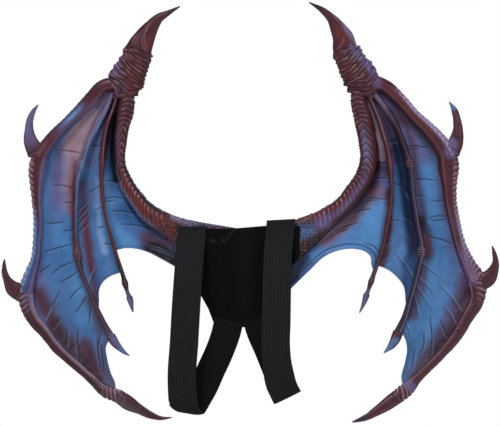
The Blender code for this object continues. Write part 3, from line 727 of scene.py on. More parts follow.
@dataclass(frozen=True)
class Skin:
    """Where the points of a member's skin lie on it, and how the skin is sculpted.

    Side is 1 outside and -1 inside the wing, and front is 1 towards the viewer. Each relief gives
    the rise in millimetres, how much of a crest each point is and how much of a groove.
    """

    along: Array
    side: Array
    front: Array
    points: Array
    width: Array
    left: bool
    tip_first: bool

    @property
    def length(self) -> float:
        """The member's length."""
        return float(self.along[-1, 0])

    @property
    def from_base(self) -> Array:
        """The way from the member's thick end."""
        return self.length - self.along if self.tip_first else self.along

    @property
    def facing(self) -> Array:
        """1 on the half that faces the viewer, 0 behind."""
        return ramp(self.front, -0.1, 0.35)

    def uneven(self, rise: float, size: float, seed: int) -> Array:
        """The unevenness of handwork: lumps of that rise and size, with their own seed."""
        return rise * lumps(self.points, size, seed)

    def horn(self) -> Triple:
        """A smooth horn with a soft keel on its outer side.

        Returns:
            The rise, the crests and the grooves.
        """
        keel_side, valley_side, line, height = 0.52, 0.41, 0.07, 0.6
        keel = line_at(self.side, keel_side, line) * self.facing
        valley = line_at(self.side, valley_side, line) * self.facing
        faded = ramp(self.length - self.from_base, 6, 30) * ramp(self.from_base, 4, 20)
        grain = self.uneven(0.35, 16.0, 32) + self.uneven(0.12, 6.0, 33)
        rise = (height * keel - height * valley) * faded + grain
        return rise, 0.55 * keel * faded, 0.7 * valley * faded

    def claw(self) -> Triple:
        """A hooked claw with three keels, wrinkled at its base.

        Returns:
            The rise, the crests and the grooves.
        """
        usual_width, turns, turned, keel_width = 30.0, 2.5, 0.6, 0.3
        scale = self.width.max() / usual_width
        keel_height, wrinkle_depth, pitch = 0.7 * scale, 1.1 * scale, 6.0 * scale + 2.0
        turn = np.arctan2(self.front, self.side)
        keels = line_at(np.sin(turns * turn + turned), 0.0, keel_width) * self.facing
        faded = ramp(self.from_base, 8 * scale, 22 * scale) * ramp(self.length - self.from_base, 4, 22)
        wrinkle = folds(self.from_base + self.uneven(2.0, 12.0, 41), pitch, 0.7)
        near_base = 1 - ramp(self.from_base, 5 * scale, 17 * scale)
        rise = keel_height * keels * faded - wrinkle_depth * (1 - wrinkle) * near_base
        rise = rise + self.uneven(0.3 * scale, 8.0, 42)
        crest = 0.55 * keels * faded + 0.6 * wrinkle**7 * near_base
        return rise, crest, 0.8 * (1 - wrinkle) * near_base

    def wrap(self) -> Triple:
        """A crumpled sleeve: crossing folds that rise to puffs on the outside.

        Returns:
            The rise, the crests and the grooves.
        """
        fold_pitch, cross_pitch, puff_pitch = 7.4, 19.0, 14.5
        fold_height, puff_height, roll_height, collar_height = 2.8, 3.4, 1.6, 2.6
        drift = self.uneven(6.0, 26.0, 51) + self.uneven(2.0, 10.0, 52)
        bend = 9.0 * self.side + 5.0 * self.side**2
        main = folds(self.along + bend + drift, fold_pitch, 0.8)
        cross = folds(self.along - 5.0 * self.side + 1.6 * drift + 30, cross_pitch, 0.4)
        fold = np.minimum(main, 0.2 + cross)
        outside = ramp(self.side, 0.3, 0.75)
        puffs = folds(self.along + 7.0 * self.side + 0.6 * drift + 3, puff_pitch, 0.6) * outside
        ends = ramp(self.along, 0, 6) * ramp(self.length - self.along, 0, 4)
        roll = line_at(self.length - self.along, 5.0, 4.0)
        collar = line_at(self.along, 5.0, 3.2) * (0.7 + 0.5 * ramp(self.side, -0.2, 0.8))
        rise = fold_height * (fold - 0.78) * ends + puff_height * (puffs - 0.45 * outside) * ends
        rise = rise + self.uneven(1.2, 15.0, 53) * ends + roll_height * roll + collar_height * collar
        crest = (0.9 * fold**18 + 0.5 * puffs**9 + 0.6 * collar**4) * (0.6 + self.uneven(0.6, 9.0, 54))
        return rise, np.clip(crest, 0, 1), 0.95 * (1 - ramp(fold, 0.1, 0.6))

    def arm(self) -> Triple:
        """Arched rings at the wrist, a column of domes, then slanting bars down to the scaly root.

        Returns:
            The rise, the crests and the grooves.
        """
        bar_height, knob_height, net_height, lip_height = 3.0, 2.4, 1.3, 0.8
        knob_size, net_size = 3.4, 6.0
        ring_places, ring_pitches = (0, 0.14, 0.2, 0.45, 0.56, 1.0), (7.9, 8.6, 12.8, 12.4, 9.8, 9.2)
        place = self.along / self.length
        body = -self.side
        pitch = np.interp(place[:, 0], ring_places, ring_pitches)
        steps = np.diff(self.along[:, 0]) / pitch[:-1]
        phase = np.concatenate([[0.0], np.cumsum(steps)])[:, None]
        root = ramp(place, 0.86, 0.9)
        lower = ramp(place, 0.42, 0.5) * (1 - root)
        arch = np.interp(place, (0.14, 0.2, 0.42, 0.52), (1.1, 2.8, 2.4, 0.5))
        slant = 1.15 * ramp(place, 0.42, 0.6)
        bent = phase - arch * (body - 0.22) ** 2 + slant * body + self.uneven(0.2, 24.0, 61)
        bars = domes(bent, 0.6)
        lip = line_at(bent - np.floor(bent), 0.3, 0.15)
        foot = np.interp(place, (0.42, 0.5), (-0.6, -1.2 if self.left else -0.45))
        head = np.interp(place, (0.15, 0.2, 0.42, 0.5), (0.9, 0.66, 0.66, 0.52 if self.left else 0.72))
        above = ramp(body, head, head + 0.12)
        band = ramp(body, foot, foot + 0.22) * (1 - above) * (1 - root)
        edge = above * (1 - root)
        knobs = cells(np.stack(np.broadcast_arrays(self.along, 13.0 * self.side), axis=-1), knob_size, 65)
        net = cells(self.points[..., [0, 2]], net_size, 64)
        rise = bar_height * (bars - 0.75) * band + knob_height * (knobs - 0.5) * edge
        rise = rise - net_height * (net - 0.3) * root
        rise = rise + lip_height * lip * band + self.uneven(0.4, 9.0, 62)
        low = np.maximum(foot, -0.9) + 0.25
        shine = 0.4 - 0.2 * lower + 1.1 * line_at(body, low, 0.22) + 0.9 * line_at(body, head - 0.14, 0.2)
        shine = shine * (0.75 + self.uneven(0.5, 7.0, 66)) * self.facing
        crest = lip * shine * band + 0.8 * knobs**3 * edge * (0.5 + self.uneven(0.5, 6.0, 67))
        crest = crest + 0.7 * (1 - ramp(net, 0.0, 0.16)) * root
        groove = 0.85 * (1 - ramp(bars, 0.1, 0.65)) * band + 0.8 * (1 - ramp(knobs, 0.1, 0.6)) * edge
        groove = groove + 0.75 * ramp(net, 0.06, 0.3) * root
        return rise, np.clip(crest, 0, 1), np.clip(groove, 0, 1)

    def ridged(self) -> Triple:
        """A smooth spar whose outer edge carries a row of short segments.

        Returns:
            The rise, the crests and the grooves.
        """
        low, share = (0.72, 0.45) if self.left else (0.3, 1.0)
        segment_pitch, segment_height, seam_depth, keel_height = 10.2, 1.9, 0.9, 0.7
        starts = ramp(self.along / self.length, 0.12, 0.3)
        edge = ramp(self.side, low, low + 0.15) * ramp(self.front, -0.6, -0.2) * starts * share
        fold = folds(self.along + 6.0 * self.side + self.uneven(2.2, 20.0, 71), segment_pitch, 0.4)
        seam = line_at(self.side, low, 0.07) * ramp(self.front, -0.2, 0.2) * starts
        keel = line_at(self.side, -0.45, 0.12) * self.facing
        rise = segment_height * (fold - 0.6) * edge - seam_depth * seam + keel_height * keel
        rise = rise + self.uneven(0.6, 14.0, 72)
        crest = fold**5 * edge + 0.35 * keel
        return rise, crest, np.clip(0.75 * (1 - ramp(fold, 0.05, 0.55)) * edge + 0.6 * seam, 0, 1)

    def ribbed(self) -> Triple:
        """A smooth spar with cross ribs round its outer edge.

        Returns:
            The rise, the crests and the grooves.
        """
        rib_pitch, lowest = (10.4, 0.3) if self.left else (8.6, -0.5)
        rib_height, seam_depth, keel_height = 2.6, 0.6, 0.9
        low = np.interp(self.along / self.length, (0.6, 0.85), (0.3, lowest))
        edge = ramp(self.side, low, low + 0.2) * ramp(self.along, 4, 16)
        bend = 9.0 * (self.side - 0.7) ** 2 * 3
        fold = folds(self.along - bend + self.uneven(3.4, 18.0, 81), rib_pitch, 0.5)
        seam = line_at(self.side, 0.3, 0.07) * self.facing
        keel = line_at(self.side, -0.5, 0.1) * self.facing
        rise = rib_height * (fold - 0.65) * edge - seam_depth * seam + keel_height * keel
        rise = rise + self.uneven(0.6, 13.0, 82)
        crest = fold**6 * edge + 0.5 * keel
        return rise, crest, np.clip(0.8 * (1 - ramp(fold, 0.05, 0.5)) * edge + 0.4 * seam, 0, 1)

    def keeled(self) -> Triple:
        """A spar with one thin keel, wrinkled at both knuckles.

        Returns:
            The rise, the crests and the grooves.
        """
        wrinkle_height, keel_height, under_depth, faint_height = 2.4, 0.9, 0.5, 0.3
        wrinkle_pitch, faint_pitch = 8.6, 9.0
        keel = line_at(self.side, -0.74, 0.07) * self.facing
        under = line_at(self.side, -0.58, 0.08) * self.facing
        ends = 1 - ramp(self.along, 20, 50) * ramp(self.length - self.along, 14, 40)
        near_tip = ramp(self.along / self.length, 0.5, 0.8)
        ends = ends * ramp(self.side, -0.5 - 1.2 * near_tip, 0.2 - 1.1 * near_tip)
        fold = folds(self.along - 6.0 * self.side + self.uneven(2.0, 16.0, 91), wrinkle_pitch, 0.6)
        faint = folds(self.along + 6.0 * self.side + self.uneven(3.0, 20.0, 92), faint_pitch, 0.8)
        rise = wrinkle_height * (fold - 0.7) * ends + keel_height * keel - under_depth * under
        rise = rise + faint_height * (faint - 1) * (1 - ends) + self.uneven(0.5, 12.0, 93)
        crest = fold**6 * ends * 0.9 + 0.9 * keel * (1 - 0.6 * ends)
        return rise, crest, np.clip(0.8 * (1 - ramp(fold, 0.1, 0.6)) * ends + 0.5 * under, 0, 1)

    def knotted(self) -> Triple:
        """A thin finger bone with a fine keel and double rings round its knots.

        Returns:
            The rise, the crests and the grooves.
        """
        window, ring_pitch, ring_height, keel_height, trough_depth, slimming = 41, 4.4, 0.9, 0.5, 0.3, 0.09
        outward = -1 if self.left else 1
        line = self.width[:, 0]
        usual = np.convolve(np.pad(line, window // 2, mode="edge"), np.ones(window) / window, mode="valid")
        bulge = ramp(line - usual, 0.9, 2.4)[:, None]
        rings = folds(self.along, ring_pitch, 0.6)
        keel = line_at(self.side, 0.25 * outward, 0.12) * self.facing
        trough = line_at(self.side, -0.11 * outward, 0.18) * self.facing
        rise = -slimming * self.width * (1 - bulge) + ring_height * (rings - 0.7) * bulge
        rise = rise + (keel_height * keel - trough_depth * trough) * (1 - bulge)
        rise = rise + self.uneven(0.2, 7.0, 95)
        crest = 0.6 * rings**6 * bulge + 0.6 * keel * (1 - bulge)
        return rise, crest, np.clip(0.7 * (1 - rings) * bulge + 0.6 * trough, 0, 1)


# Meshes


def new_piece(name: str, solid: str, slot: Slot, points: Array, faces: Faces) -> bpy.types.Object:
    """A smooth-shaded piece that rides on the wings in the place of its plain solid.

    Args:
        name: The piece's name.
        solid: The plain solid that it replaces.
        slot: What it is made of.
        points: Its points in millimetres.
        faces: Its faces.

    Returns:
        The new object.
    """
    mesh = bpy.data.meshes.new(name)
    mesh.from_pydata((points * MM).tolist(), [], faces)
    mesh.materials.append(material(slot))
    mesh.shade_smooth()
    made = bpy.data.objects.new(name, mesh)
    bpy.context.scene.collection.objects.link(made)
    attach(made, "root")
    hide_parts(solid)
    LOG.info("%s: %d points", name, len(points))
    return made


def new_tube(name: str, solid: str, slot: Slot, grid: Array) -> bpy.types.Object:
    """A piece made of rings of points with both ends closed.

    Args:
        name: The piece's name.
        solid: The plain solid that it replaces.
        slot: What it is made of.
        grid: Its rings of points in millimetres.

    Returns:
        The new object.
    """
    count, sides = grid.shape[:2]
    index = np.arange(count * sides).reshape(count, sides)
    after = np.roll(index, -1, axis=1)
    walls = np.stack([index[:-1], index[1:], after[1:], after[:-1]], axis=-1).reshape(-1, 4)
    faces = [tuple(face) for face in walls.tolist()]
    faces += [tuple(index[0].tolist()), tuple(index[-1, ::-1].tolist())]
    return new_piece(name, solid, slot, grid.reshape(-1, 3), faces)


def sheet_faces(rows: int, columns: int) -> Faces:
    """The faces of a closed sheet between a near and a far grid of points.

    Args:
        rows: How many rows each grid has.
        columns: How many columns each grid has.

    Returns:
        The faces.
    """
    index = np.arange(rows * columns).reshape(rows, columns)
    corners = [index[:-1, :-1], index[1:, :-1], index[1:, 1:], index[:-1, 1:]]
    near = np.stack(corners, axis=-1).reshape(-1, 4)
    far = near[:, ::-1] + rows * columns
    border = np.concatenate([index[:, 0], index[-1, 1:], index[-2::-1, -1], index[0, -2:0:-1]])
    after = np.roll(border, -1)
    rim = np.stack([after, border, border + rows * columns, after + rows * columns], axis=-1)
    return [tuple(face) for face in np.vstack([near, far, rim]).tolist()]


def note(made: bpy.types.Object, name: str, kind: str, values: Array) -> None:
    """Keeps a value for each point on the mesh for its finish to read.

    Args:
        made: The piece.
        name: The value's name.
        kind: FLOAT, FLOAT_VECTOR or FLOAT_COLOR.
        values: The values in the order of the points.
    """
    entry = {"FLOAT": "value", "FLOAT_VECTOR": "vector", "FLOAT_COLOR": "color"}[kind]
    layer = made.data.attributes.new(name, kind, "POINT")
    layer.data.foreach_set(entry, values.astype(np.float32).ravel())


def note_paint(made: bpy.types.Object, colour: Array, crest: Array, groove: Array) -> None:
    """Keeps each point's paint, crest and groove on the mesh.

    Args:
        made: The piece.
        colour: The paint as linear colours.
        crest: How much of a crest each point is, from 0 to 1: where the finish paints highlight.
        groove: How much of a groove each point is, from 0 to 1: where the finish washes in painted shade.
    """
    note(made, "paint", "FLOAT_COLOR", np.concatenate([colour, np.ones((*colour.shape[:-1], 1))], axis=-1))
    note(made, "crest", "FLOAT", np.clip(crest, 0, 1))
    note(made, "groove", "FLOAT", np.clip(groove, 0, 1))


@dataclass
class Wing:
    """One wing: its bones, its three membranes and the plate at its root.

    Mirror is 1 for the wing on the viewer's left and -1 for the other. Thickness is the
    membranes', which grows along Y by steepest at most where they lie steeply. Scallop_fade is
    the power by which the free edge's form fades out. Plate_front and plate_back are the faces
    of the root plate along Y, and the arm runs on into the sleeve and over the plate.
    """

    prefix: str
    mirror: int
    table: dict[str, Points]
    panels: dict[str, Membrane]
    plate: Points
    trims: dict[str, tuple[Trim, ...]]
    ridges: dict[str, tuple[Points, ...]]
    bone_strokes: tuple[Stroke, ...]
    membrane_strokes: tuple[Stroke, ...]
    creases: tuple[Points, ...]
    veins: tuple[Points, ...]
    thickness: float = 3.0
    steepest: float = 1.7
    scallop_fade: int = 3
    membrane_step: float = 1.85
    plate_front: float = 3.3
    plate_back: float = 17.3
    into_sleeve: float = 7.0
    over_plate: float = 9.0
    ridge_height: float = 0.6
    ridge_width: float = 0.55

    def build(self) -> None:
        """Builds and dresses every piece of the wing."""
        spines = {}
        for chain, names in CHAINS.items():
            spines[chain] = np.vstack([self.bone(names, place) for place in range(len(names))])
        for name, shape in self.panels.items():
            self.membrane(name, shape, spines)
        self.root_plate()

    def tube(self, part: str, slot: Slot, grid: Array) -> bpy.types.Object:
        """One of the wing's closed pieces, in the place of its plain solid."""
        return new_tube(self.prefix + part + "_skin", self.prefix + part, slot, grid)

    def bone(self, names: tuple[str, ...], place: int) -> Array:
        """Builds one member of a chain.

        Args:
            names: The chain's members.
            place: Which of them to build.

        Returns:
            The member's centre line as x, z, y.
        """
        name = names[place]
        rows, member = self.table[name], MEMBERS[name]
        before = self.table[names[place - 1]][-2][:3] if place else None
        after = self.table[names[place + 1]][1][:3] if place + 1 < len(names) else None
        long = lengths(np.array(rows, float))[-1]
        sections, ways = smooth(rows, int(long / member.step) + 2, before, after)
        skin = self.skin(sections, ways, member)
        points = skin.points
        reliefs = getattr(skin, member.relief.value)()
        # Crests go to the finish for painted highlight, grooves for wash and painted shade.
        rise, crest, groove = (np.broadcast_to(value, points.shape[:2]) for value in reliefs)
        outward = points - sections[:, None, SWAP]
        outward /= np.linalg.norm(outward, axis=-1)[..., None]
        outward = outward * ramp(skin.width / 2, 0.8, 6.0)[..., None]
        points = points + outward * rise[..., None]
        spots = drawing(points)
        # Ridges drawn on a member rise and count as crests, so they get painted highlight too.
        for line in self.ridges.get(name, ()):
            away, _, share = reach(spots, line)
            ends = ramp(share, 0.0, 0.2) * (1 - ramp(share, 0.8, 1.0))
            ridge = line_at(away, 0.0, self.ridge_width) * skin.facing * ends
            points = points + outward * (self.ridge_height * ridge)[..., None]
            crest = np.maximum(crest, 0.7 * ridge)
        colour = coated(points, MAROON)
        for trim in self.trims.get(name, ()):
            colour = covered(colour, trim.paint, trim.cover(skin))
        colour = painted(points, colour, self.bone_strokes)
        if name == "arm":
            points, colour, crest, groove = self.tucked(points, ways, colour, crest, groove)
        made = self.tube(name, Slot.CLAW if "claw" in name else Slot.FOAM, points)
        note_paint(made, colour, crest**1.6, groove)
        return sections[:, :3]

    def skin(self, sections: Array, ways: Array, member: Member) -> Skin:
        """The smooth skin of a member before it is sculpted.

        Args:
            sections: Its sections: centre x, z, y, width and depth.
            ways: Their directions.
            member: What kind of member it is.

        Returns:
            The skin.
        """
        angle = np.arange(member.sides) * 2 * np.pi / member.sides
        across = np.cross(ways, FRONT)
        across /= np.linalg.norm(across, axis=1)[:, None]
        facing = np.cross(across, ways)
        half_width, half_depth = (sections[:, k, None, None] / 2 for k in (3, 4))
        points = (
            sections[:, None, SWAP]
            + across[:, None] * half_width * np.cos(angle)[None, :, None]
            + facing[:, None] * half_depth * np.sin(angle)[None, :, None]
        )
        return Skin(
            along=lengths(sections)[:, None],
            side=self.mirror * np.cos(angle)[None, :],
            front=np.sin(angle)[None, :],
            points=points,
            width=sections[:, 3][:, None],
            left=self.mirror > 0,
            tip_first=member.tip_first,
        )

    def tucked(self, points: Array, ways: Array, *values: Array) -> tuple[Array, ...]:
        """Runs the arm on into the wrist's sleeve and over the root plate.

        Args:
            points: The arm's rings of points.
            ways: The rings' directions.
            values: What is kept for each point.

        Returns:
            The longer points and values.
        """
        first, last = points[:1] - ways[0] * self.into_sleeve, points[-1:] + ways[-1] * self.over_plate
        longer = (np.concatenate([value[:1], value, value[-1:]]) for value in values)
        return np.concatenate([first, points, last]), *longer

    def membrane(self, name: str, shape: Membrane, spines: dict[str, Array]) -> None:
        """Builds one membrane with its creases, veins and hem.

        Args:
            name: The membrane's name.
            shape: Its table.
            spines: The chains' centre lines.
        """
        rim_growth, hem_depth, back_share = 0.7, 1.1, 0.7
        centre, hem = self.membrane_grid(shape, spines)
        points = centre[..., SWAP]
        relief, dark, light = self.marks(drawing(points))
        broad = 1.6 * lumps(points * (1.6, 1, 0.7), 34.0, 101) + 0.5 * lumps(points, 9.0, 102)
        border = line_at(hem, shape.hem, 1.0) * (0.5 if shape.hem < 5 else 1.0)
        relief = relief * ramp(hem, 0.0, 6.0) - hem_depth * border
        steep = np.hypot(*(np.gradient(centre[:, :, 2], axis=k) / spacing(centre, k) for k in (0, 1)))
        half = self.thickness / 2 * np.minimum(np.sqrt(1 + steep**2), self.steepest)
        half = half + rim_growth * (1 - ramp(hem, 5.0, 8.0))
        near, far = points.copy(), points.copy()
        near[:, :, 1] += broad - half - relief
        far[:, :, 1] += broad + half - back_share * relief
        both = np.vstack([near.reshape(-1, 3), far.reshape(-1, 3)])
        faces = sheet_faces(*centre.shape[:2])
        turn = np.cross(both[faces[0][1]] - both[faces[0][0]], both[faces[0][3]] - both[faces[0][0]])
        if turn[1] > 0:
            faces = [face[::-1] for face in faces]
        part = self.prefix + name
        made = new_piece(part + "_skin", part, Slot.MEMBRANE, both, faces)
        colour = self.membrane_paint(points, hem)
        groove = np.clip(dark + 0.8 * border, 0, 1)
        note_paint(made, np.stack([colour] * 2), np.stack([light, 0.3 * light]), np.stack([groove] * 2))

    def membrane_paint(self, points: Array, hem: Array) -> Array:
        """The membrane's paint: painted shade beside its members and pale along its free edge.

        Args:
            points: The membrane's grid of points.
            hem: Each point's distance from the free edge.

        Returns:
            Linear colours.
        """
        colour = painted(points, coated(points, BLUE), self.membrane_strokes)
        # Painted shade: the paint darkens towards the members on both sides.
        beside = np.minimum(*(np.linalg.norm(points - points[:, k, None], axis=-1) for k in (0, -1)))
        colour = colour * (0.55 + 0.45 * ramp(beside, 5.0, 16.0))[..., None]
        rim = (1 - ramp(hem, 1.2, 3.0))[..., None]
        return colour * (1 - 0.5 * rim) + PALE_BLUE.linear() * 0.22 * rim

    def membrane_grid(self, shape: Membrane, spines: dict[str, Array]) -> tuple[Array, Array]:
        """The membrane's middle surface.

        Args:
            shape: The membrane's table.
            spines: The chains' centre lines.

        Returns:
            The grid of points as x, z, y, and each point's distance from the free edge.
        """
        outer = stretch_of(spines[shape.first], *shape.first_z)
        inner = stretch_of(spines[shape.second], *shape.second_z, shape.root_edge)
        widest = np.linalg.norm(outer - inner, axis=1).max()
        rows = int(max(lengths(outer)[-1], lengths(inner)[-1]) / self.membrane_step) + 1
        columns = int(widest / self.membrane_step) + 1
        first, second = even(outer, rows), even(inner, rows)
        scallop = np.array([(x, z, 0.0) for x, z in (first[-1, :2], *shape.free_edge, second[-1, :2])])
        scallop[:, 2] = np.linspace(first[-1, 2], second[-1, 2], len(scallop))
        edge = even(smooth(scallop, 8 * columns)[0], columns)
        u = np.linspace(0, 1, columns)[:, None]
        drop = np.interp(np.linspace(0, 1, rows), np.linspace(0, 1, len(shape.valleys)), shape.valleys)
        last = first[-1] * (1 - u) + second[-1] * u
        grid = np.empty((rows, columns, 3))
        for row, v in enumerate(np.linspace(0, 1, rows)):
            grid[row] = first[row] * (1 - u) + second[row] * u + (edge - last) * v**self.scallop_fade
            grid[row, :, 2] += drop[row] * np.sin(np.pi * u[:, 0] ** shape.lean)
        hem = np.full((rows, columns), FAR)
        for point in edge[:: max(1, columns // 60)]:
            hem = np.minimum(hem, np.linalg.norm(grid[..., :2] - point[:2], axis=-1))
        return grid, hem

    def marks(self, spots: Array) -> Triple:
        """The creases and veins on a membrane.

        Args:
            spots: The membrane's points on the drawing.

        Returns:
            Their rise in millimetres, their painted shade and their painted highlight.
        """
        crease_depth, crease_width, lip_height, vein_height, vein_width = 1.1, 0.62, 0.25, 1.0, 0.7
        relief = np.zeros(spots.shape[:-1])
        dark, light = relief.copy(), relief.copy()
        for line in self.creases:
            away, below, share = reach(spots, line)
            fade = 1 - 0.5 * np.abs(2 * share - 1) ** 3
            sunk = line_at(away, 0.0, crease_width) * fade
            lip = line_at(below, 1.5, 0.9) * line_at(away, np.abs(below), 0.5) * fade
            relief += lip_height * lip - crease_depth * sunk
            # Each crease gets painted shade along it and painted highlight on its lower lip.
            dark = np.maximum(dark, 0.95 * sunk)
            light = np.maximum(light, 0.22 * lip)
        for line in self.veins:
            away, below, share = reach(spots, line)
            fade = 1 - 0.6 * np.abs(2 * share - 1) ** 3
            raised = line_at(away, 0.0, vein_width) * fade
            shade = line_at(below, 1.6, 0.8) * fade * (away < 4)
            relief += vein_height * raised
            # Each vein gets painted highlight on top and painted shadow just below.
            light = np.maximum(light, 0.5 * raised)
            dark = np.maximum(dark, 0.55 * shade)
        return relief, dark, light

    def root_plate(self) -> None:
        """Builds the scaled plate of foam behind the back panel."""
        small_height, large_height, smallest = 0.8, 2.2, 0.02
        centre = np.array(self.plate, float).mean(axis=0)
        outline = even_round(self.plate, 320)
        away = np.linalg.norm(outline - centre, axis=1)
        insets = np.array([0.0, 0.15, 0.6, 1.4, *np.arange(2.6, 62.0, 1.8)])
        shares = [np.clip(1 - inset / away, smallest, 1)[:, None] for inset in insets]
        flat = np.stack([centre + (outline - centre) * share for share in (*shares, smallest)])
        # How far the faces draw back at each inset, so that the rim is round.
        drawn = np.interp([*insets, 60.0], (0, 1.4, 4.2, 7, 60), (4.5, 2.4, 0.7, 0, 0))[:, None]
        small, large = cells(flat, 6.0, 8), cells(flat, 11.0, 7)
        front = self.plate_front + 0.4 * drawn + small_height * small
        back = self.plate_back - drawn - large_height * (1 - large) ** 1.5
        faces = [np.stack([flat[..., 0], face, flat[..., 1]], axis=-1) for face in (front, back)]
        points = np.concatenate([faces[0][::-1], faces[1]])
        made = self.tube("root_plate", Slot.FOAM, points)
        crest = np.vstack([0.7 - 0.7 * ramp(small[::-1], 0.0, 0.16), large**3])
        groove = np.vstack([0.75 * ramp(small[::-1], 0.06, 0.3), 1 - ramp(large, 0.05, 0.6)])
        colour = painted(points, coated(points, DEEP_MAROON), self.bone_strokes)
        note_paint(made, colour, crest, groove)


def stretch_of(spine: Array, top: float, foot: float, root_edge: Points = ()) -> Array:
    """Evenly spaced points of a centre line between two heights, then along the root edge.

    Args:
        spine: The centre line as x, z, y.
        top: The height where the stretch starts.
        foot: The height where it ends.
        root_edge: Points that carry it on.

    Returns:
        The points as x, z, y.
    """
    count, fineness = 400, 8
    fine = np.linspace(0, len(spine) - 1, fineness * len(spine))
    line = np.column_stack([np.interp(fine, np.arange(len(spine)), spine[:, k]) for k in range(3)])
    line = line[(line[:, 1] <= top) & (line[:, 1] >= foot)]
    if root_edge:
        line = np.vstack([line, np.array(root_edge, float)])
    return even(line, count)


def spacing(grid: Array, axis: int) -> Array:
    """How far apart neighbouring points lie across the wing, along one way of the grid."""
    steps = np.gradient(grid[:, :, :2], axis=axis)
    return np.maximum(np.hypot(steps[:, :, 0], steps[:, :, 1]), 0.3)


@dataclass
class Harness:
    """The cloth back panel and its two elastic arm loops.

    Curl is how round the corners of each loop's fold are. The cloth and the webbing have their
    thickness in millimetres, and the webbing its width.
    """

    panel: Points
    straps: dict[str, Points]
    curl: dict[str, float]
    cloth: float = 3.0
    webbing: float = 1.9
    strap_width: float = 50.0
    strap_step: float = 3.5
    strap_threads: int = 37
    middle: tuple[float, float] = (-10.0, 12.0)

    def build(self) -> None:
        """Builds the panel and both loops."""
        self.back_panel()
        for name, rows in self.straps.items():
            self.strap(name, rows)

    def back_panel(self) -> None:
        """Builds the panel: a puckered sheet with a sewn hem and a folded flap."""
        seam_height, stitch_height, gap = 0.9, 0.5, 0.3
        shares = (
            1.0, 0.995, 0.985, 0.97, 0.95, 0.92, 0.88, 0.83, 0.77, 0.7, 0.62, 0.53, 0.43, 0.32, 0.2, 0.08,
        )
        outline = even_round(self.panel, 240)
        centre = np.array(self.middle)
        rings = np.stack([centre + (outline - centre) * share for share in shares])
        away = np.linalg.norm(rings - rings[:1], axis=-1)
        flat = np.concatenate([rings, np.zeros((*rings.shape[:2], 1))], axis=-1)
        pucker = 0.5 * lumps(flat, 21.0, 111) + 0.2 * lumps(flat, 8.0, 112)
        round_edge = 1 - ramp(away, 0, 2.0)
        near = pucker + round_edge + stitch_height * line_at(away, 6.5, 0.9) - gap
        far = self.cloth - 0.2 - round_edge
        front, back = (np.stack([rings[..., 0], face, rings[..., 1]], axis=-1) for face in (near, far))
        seam = line_at(reach(drawing(front), FLAP_SEAM)[0], 0.0, 0.7)
        front[..., 1] -= seam_height * seam
        points = np.concatenate([front[::-1], back])
        made = new_tube("back_panel_cloth", "back_panel", Slot.CLOTH, points)
        lit = 0.75 * seam + 0.08 * line_at(away, 5.0, 0.8) + 0.1 * line_at(rings[..., 0], -10.0, 14.0)
        shade = 0.92 - np.concatenate([lit[::-1], np.zeros_like(lit)])
        note(made, "flat", "FLOAT_VECTOR", np.stack([points[..., 0], points[..., 2], shade], axis=-1))

    def strap(self, name: str, rows: Points) -> None:
        """Builds one arm loop of ribbed webbing.

        Args:
            name: The loop's name.
            rows: Its centre line x, z, y and the lean of its width in degrees.
        """
        cupping, lift, fold_reach = 0.35, 0.2, 13
        sections, ways = smooth(rows, int(lengths(np.array(rows, float))[-1] / self.strap_step))
        lean = np.radians(sections[:, 3])
        width = np.column_stack([np.cos(lean), np.zeros(len(lean)), np.sin(lean)])
        normal = np.cross(ways, width)
        slant = np.linalg.norm(normal, axis=1)[:, None]
        normal /= slant
        across = np.linspace(-1, 1, self.strap_threads)
        reached = width * (self.strap_width / 2 / np.maximum(slant, 0.8))
        flat = sections[:, None, SWAP] + reached[:, None] * across[None, :, None]
        path = lengths(sections)
        fold = float(path[np.argmin(sections[:, 1])])
        corner = np.clip(np.abs(across) - 0.4, 0, 1) ** 2 * np.where(across < 0, 26, 14) * self.curl[name]
        flat[..., 2] += line_at(path, fold, fold_reach)[:, None] * corner
        half = self.webbing / 2 * np.sqrt(np.clip(1 - np.abs(across) ** 14, 0.05, 1))
        cup = cupping * across**2
        upper, lower = (
            flat + normal[:, None] * (face - cup + lift)[None, :, None] for face in (half, -half)
        )
        points = np.concatenate([upper, lower[:, ::-1]], axis=1)
        made = new_tube(name + "_webbing", name, Slot.WEBBING, points)
        along = np.repeat(path[:, None], points.shape[1], axis=1)
        side = np.concatenate([across, across[::-1]])[None] * self.strap_width / 2
        shade = 0.93 * ramp(along, fold - 4, fold + 14)
        place = np.stack([np.broadcast_to(side, along.shape), along, shade], axis=-1)
        note(made, "flat", "FLOAT_VECTOR", place)


# Finishes

Value = float | tuple[float, ...] | bpy.types.NodeSocket
Inputs = dict[str | int, Value]


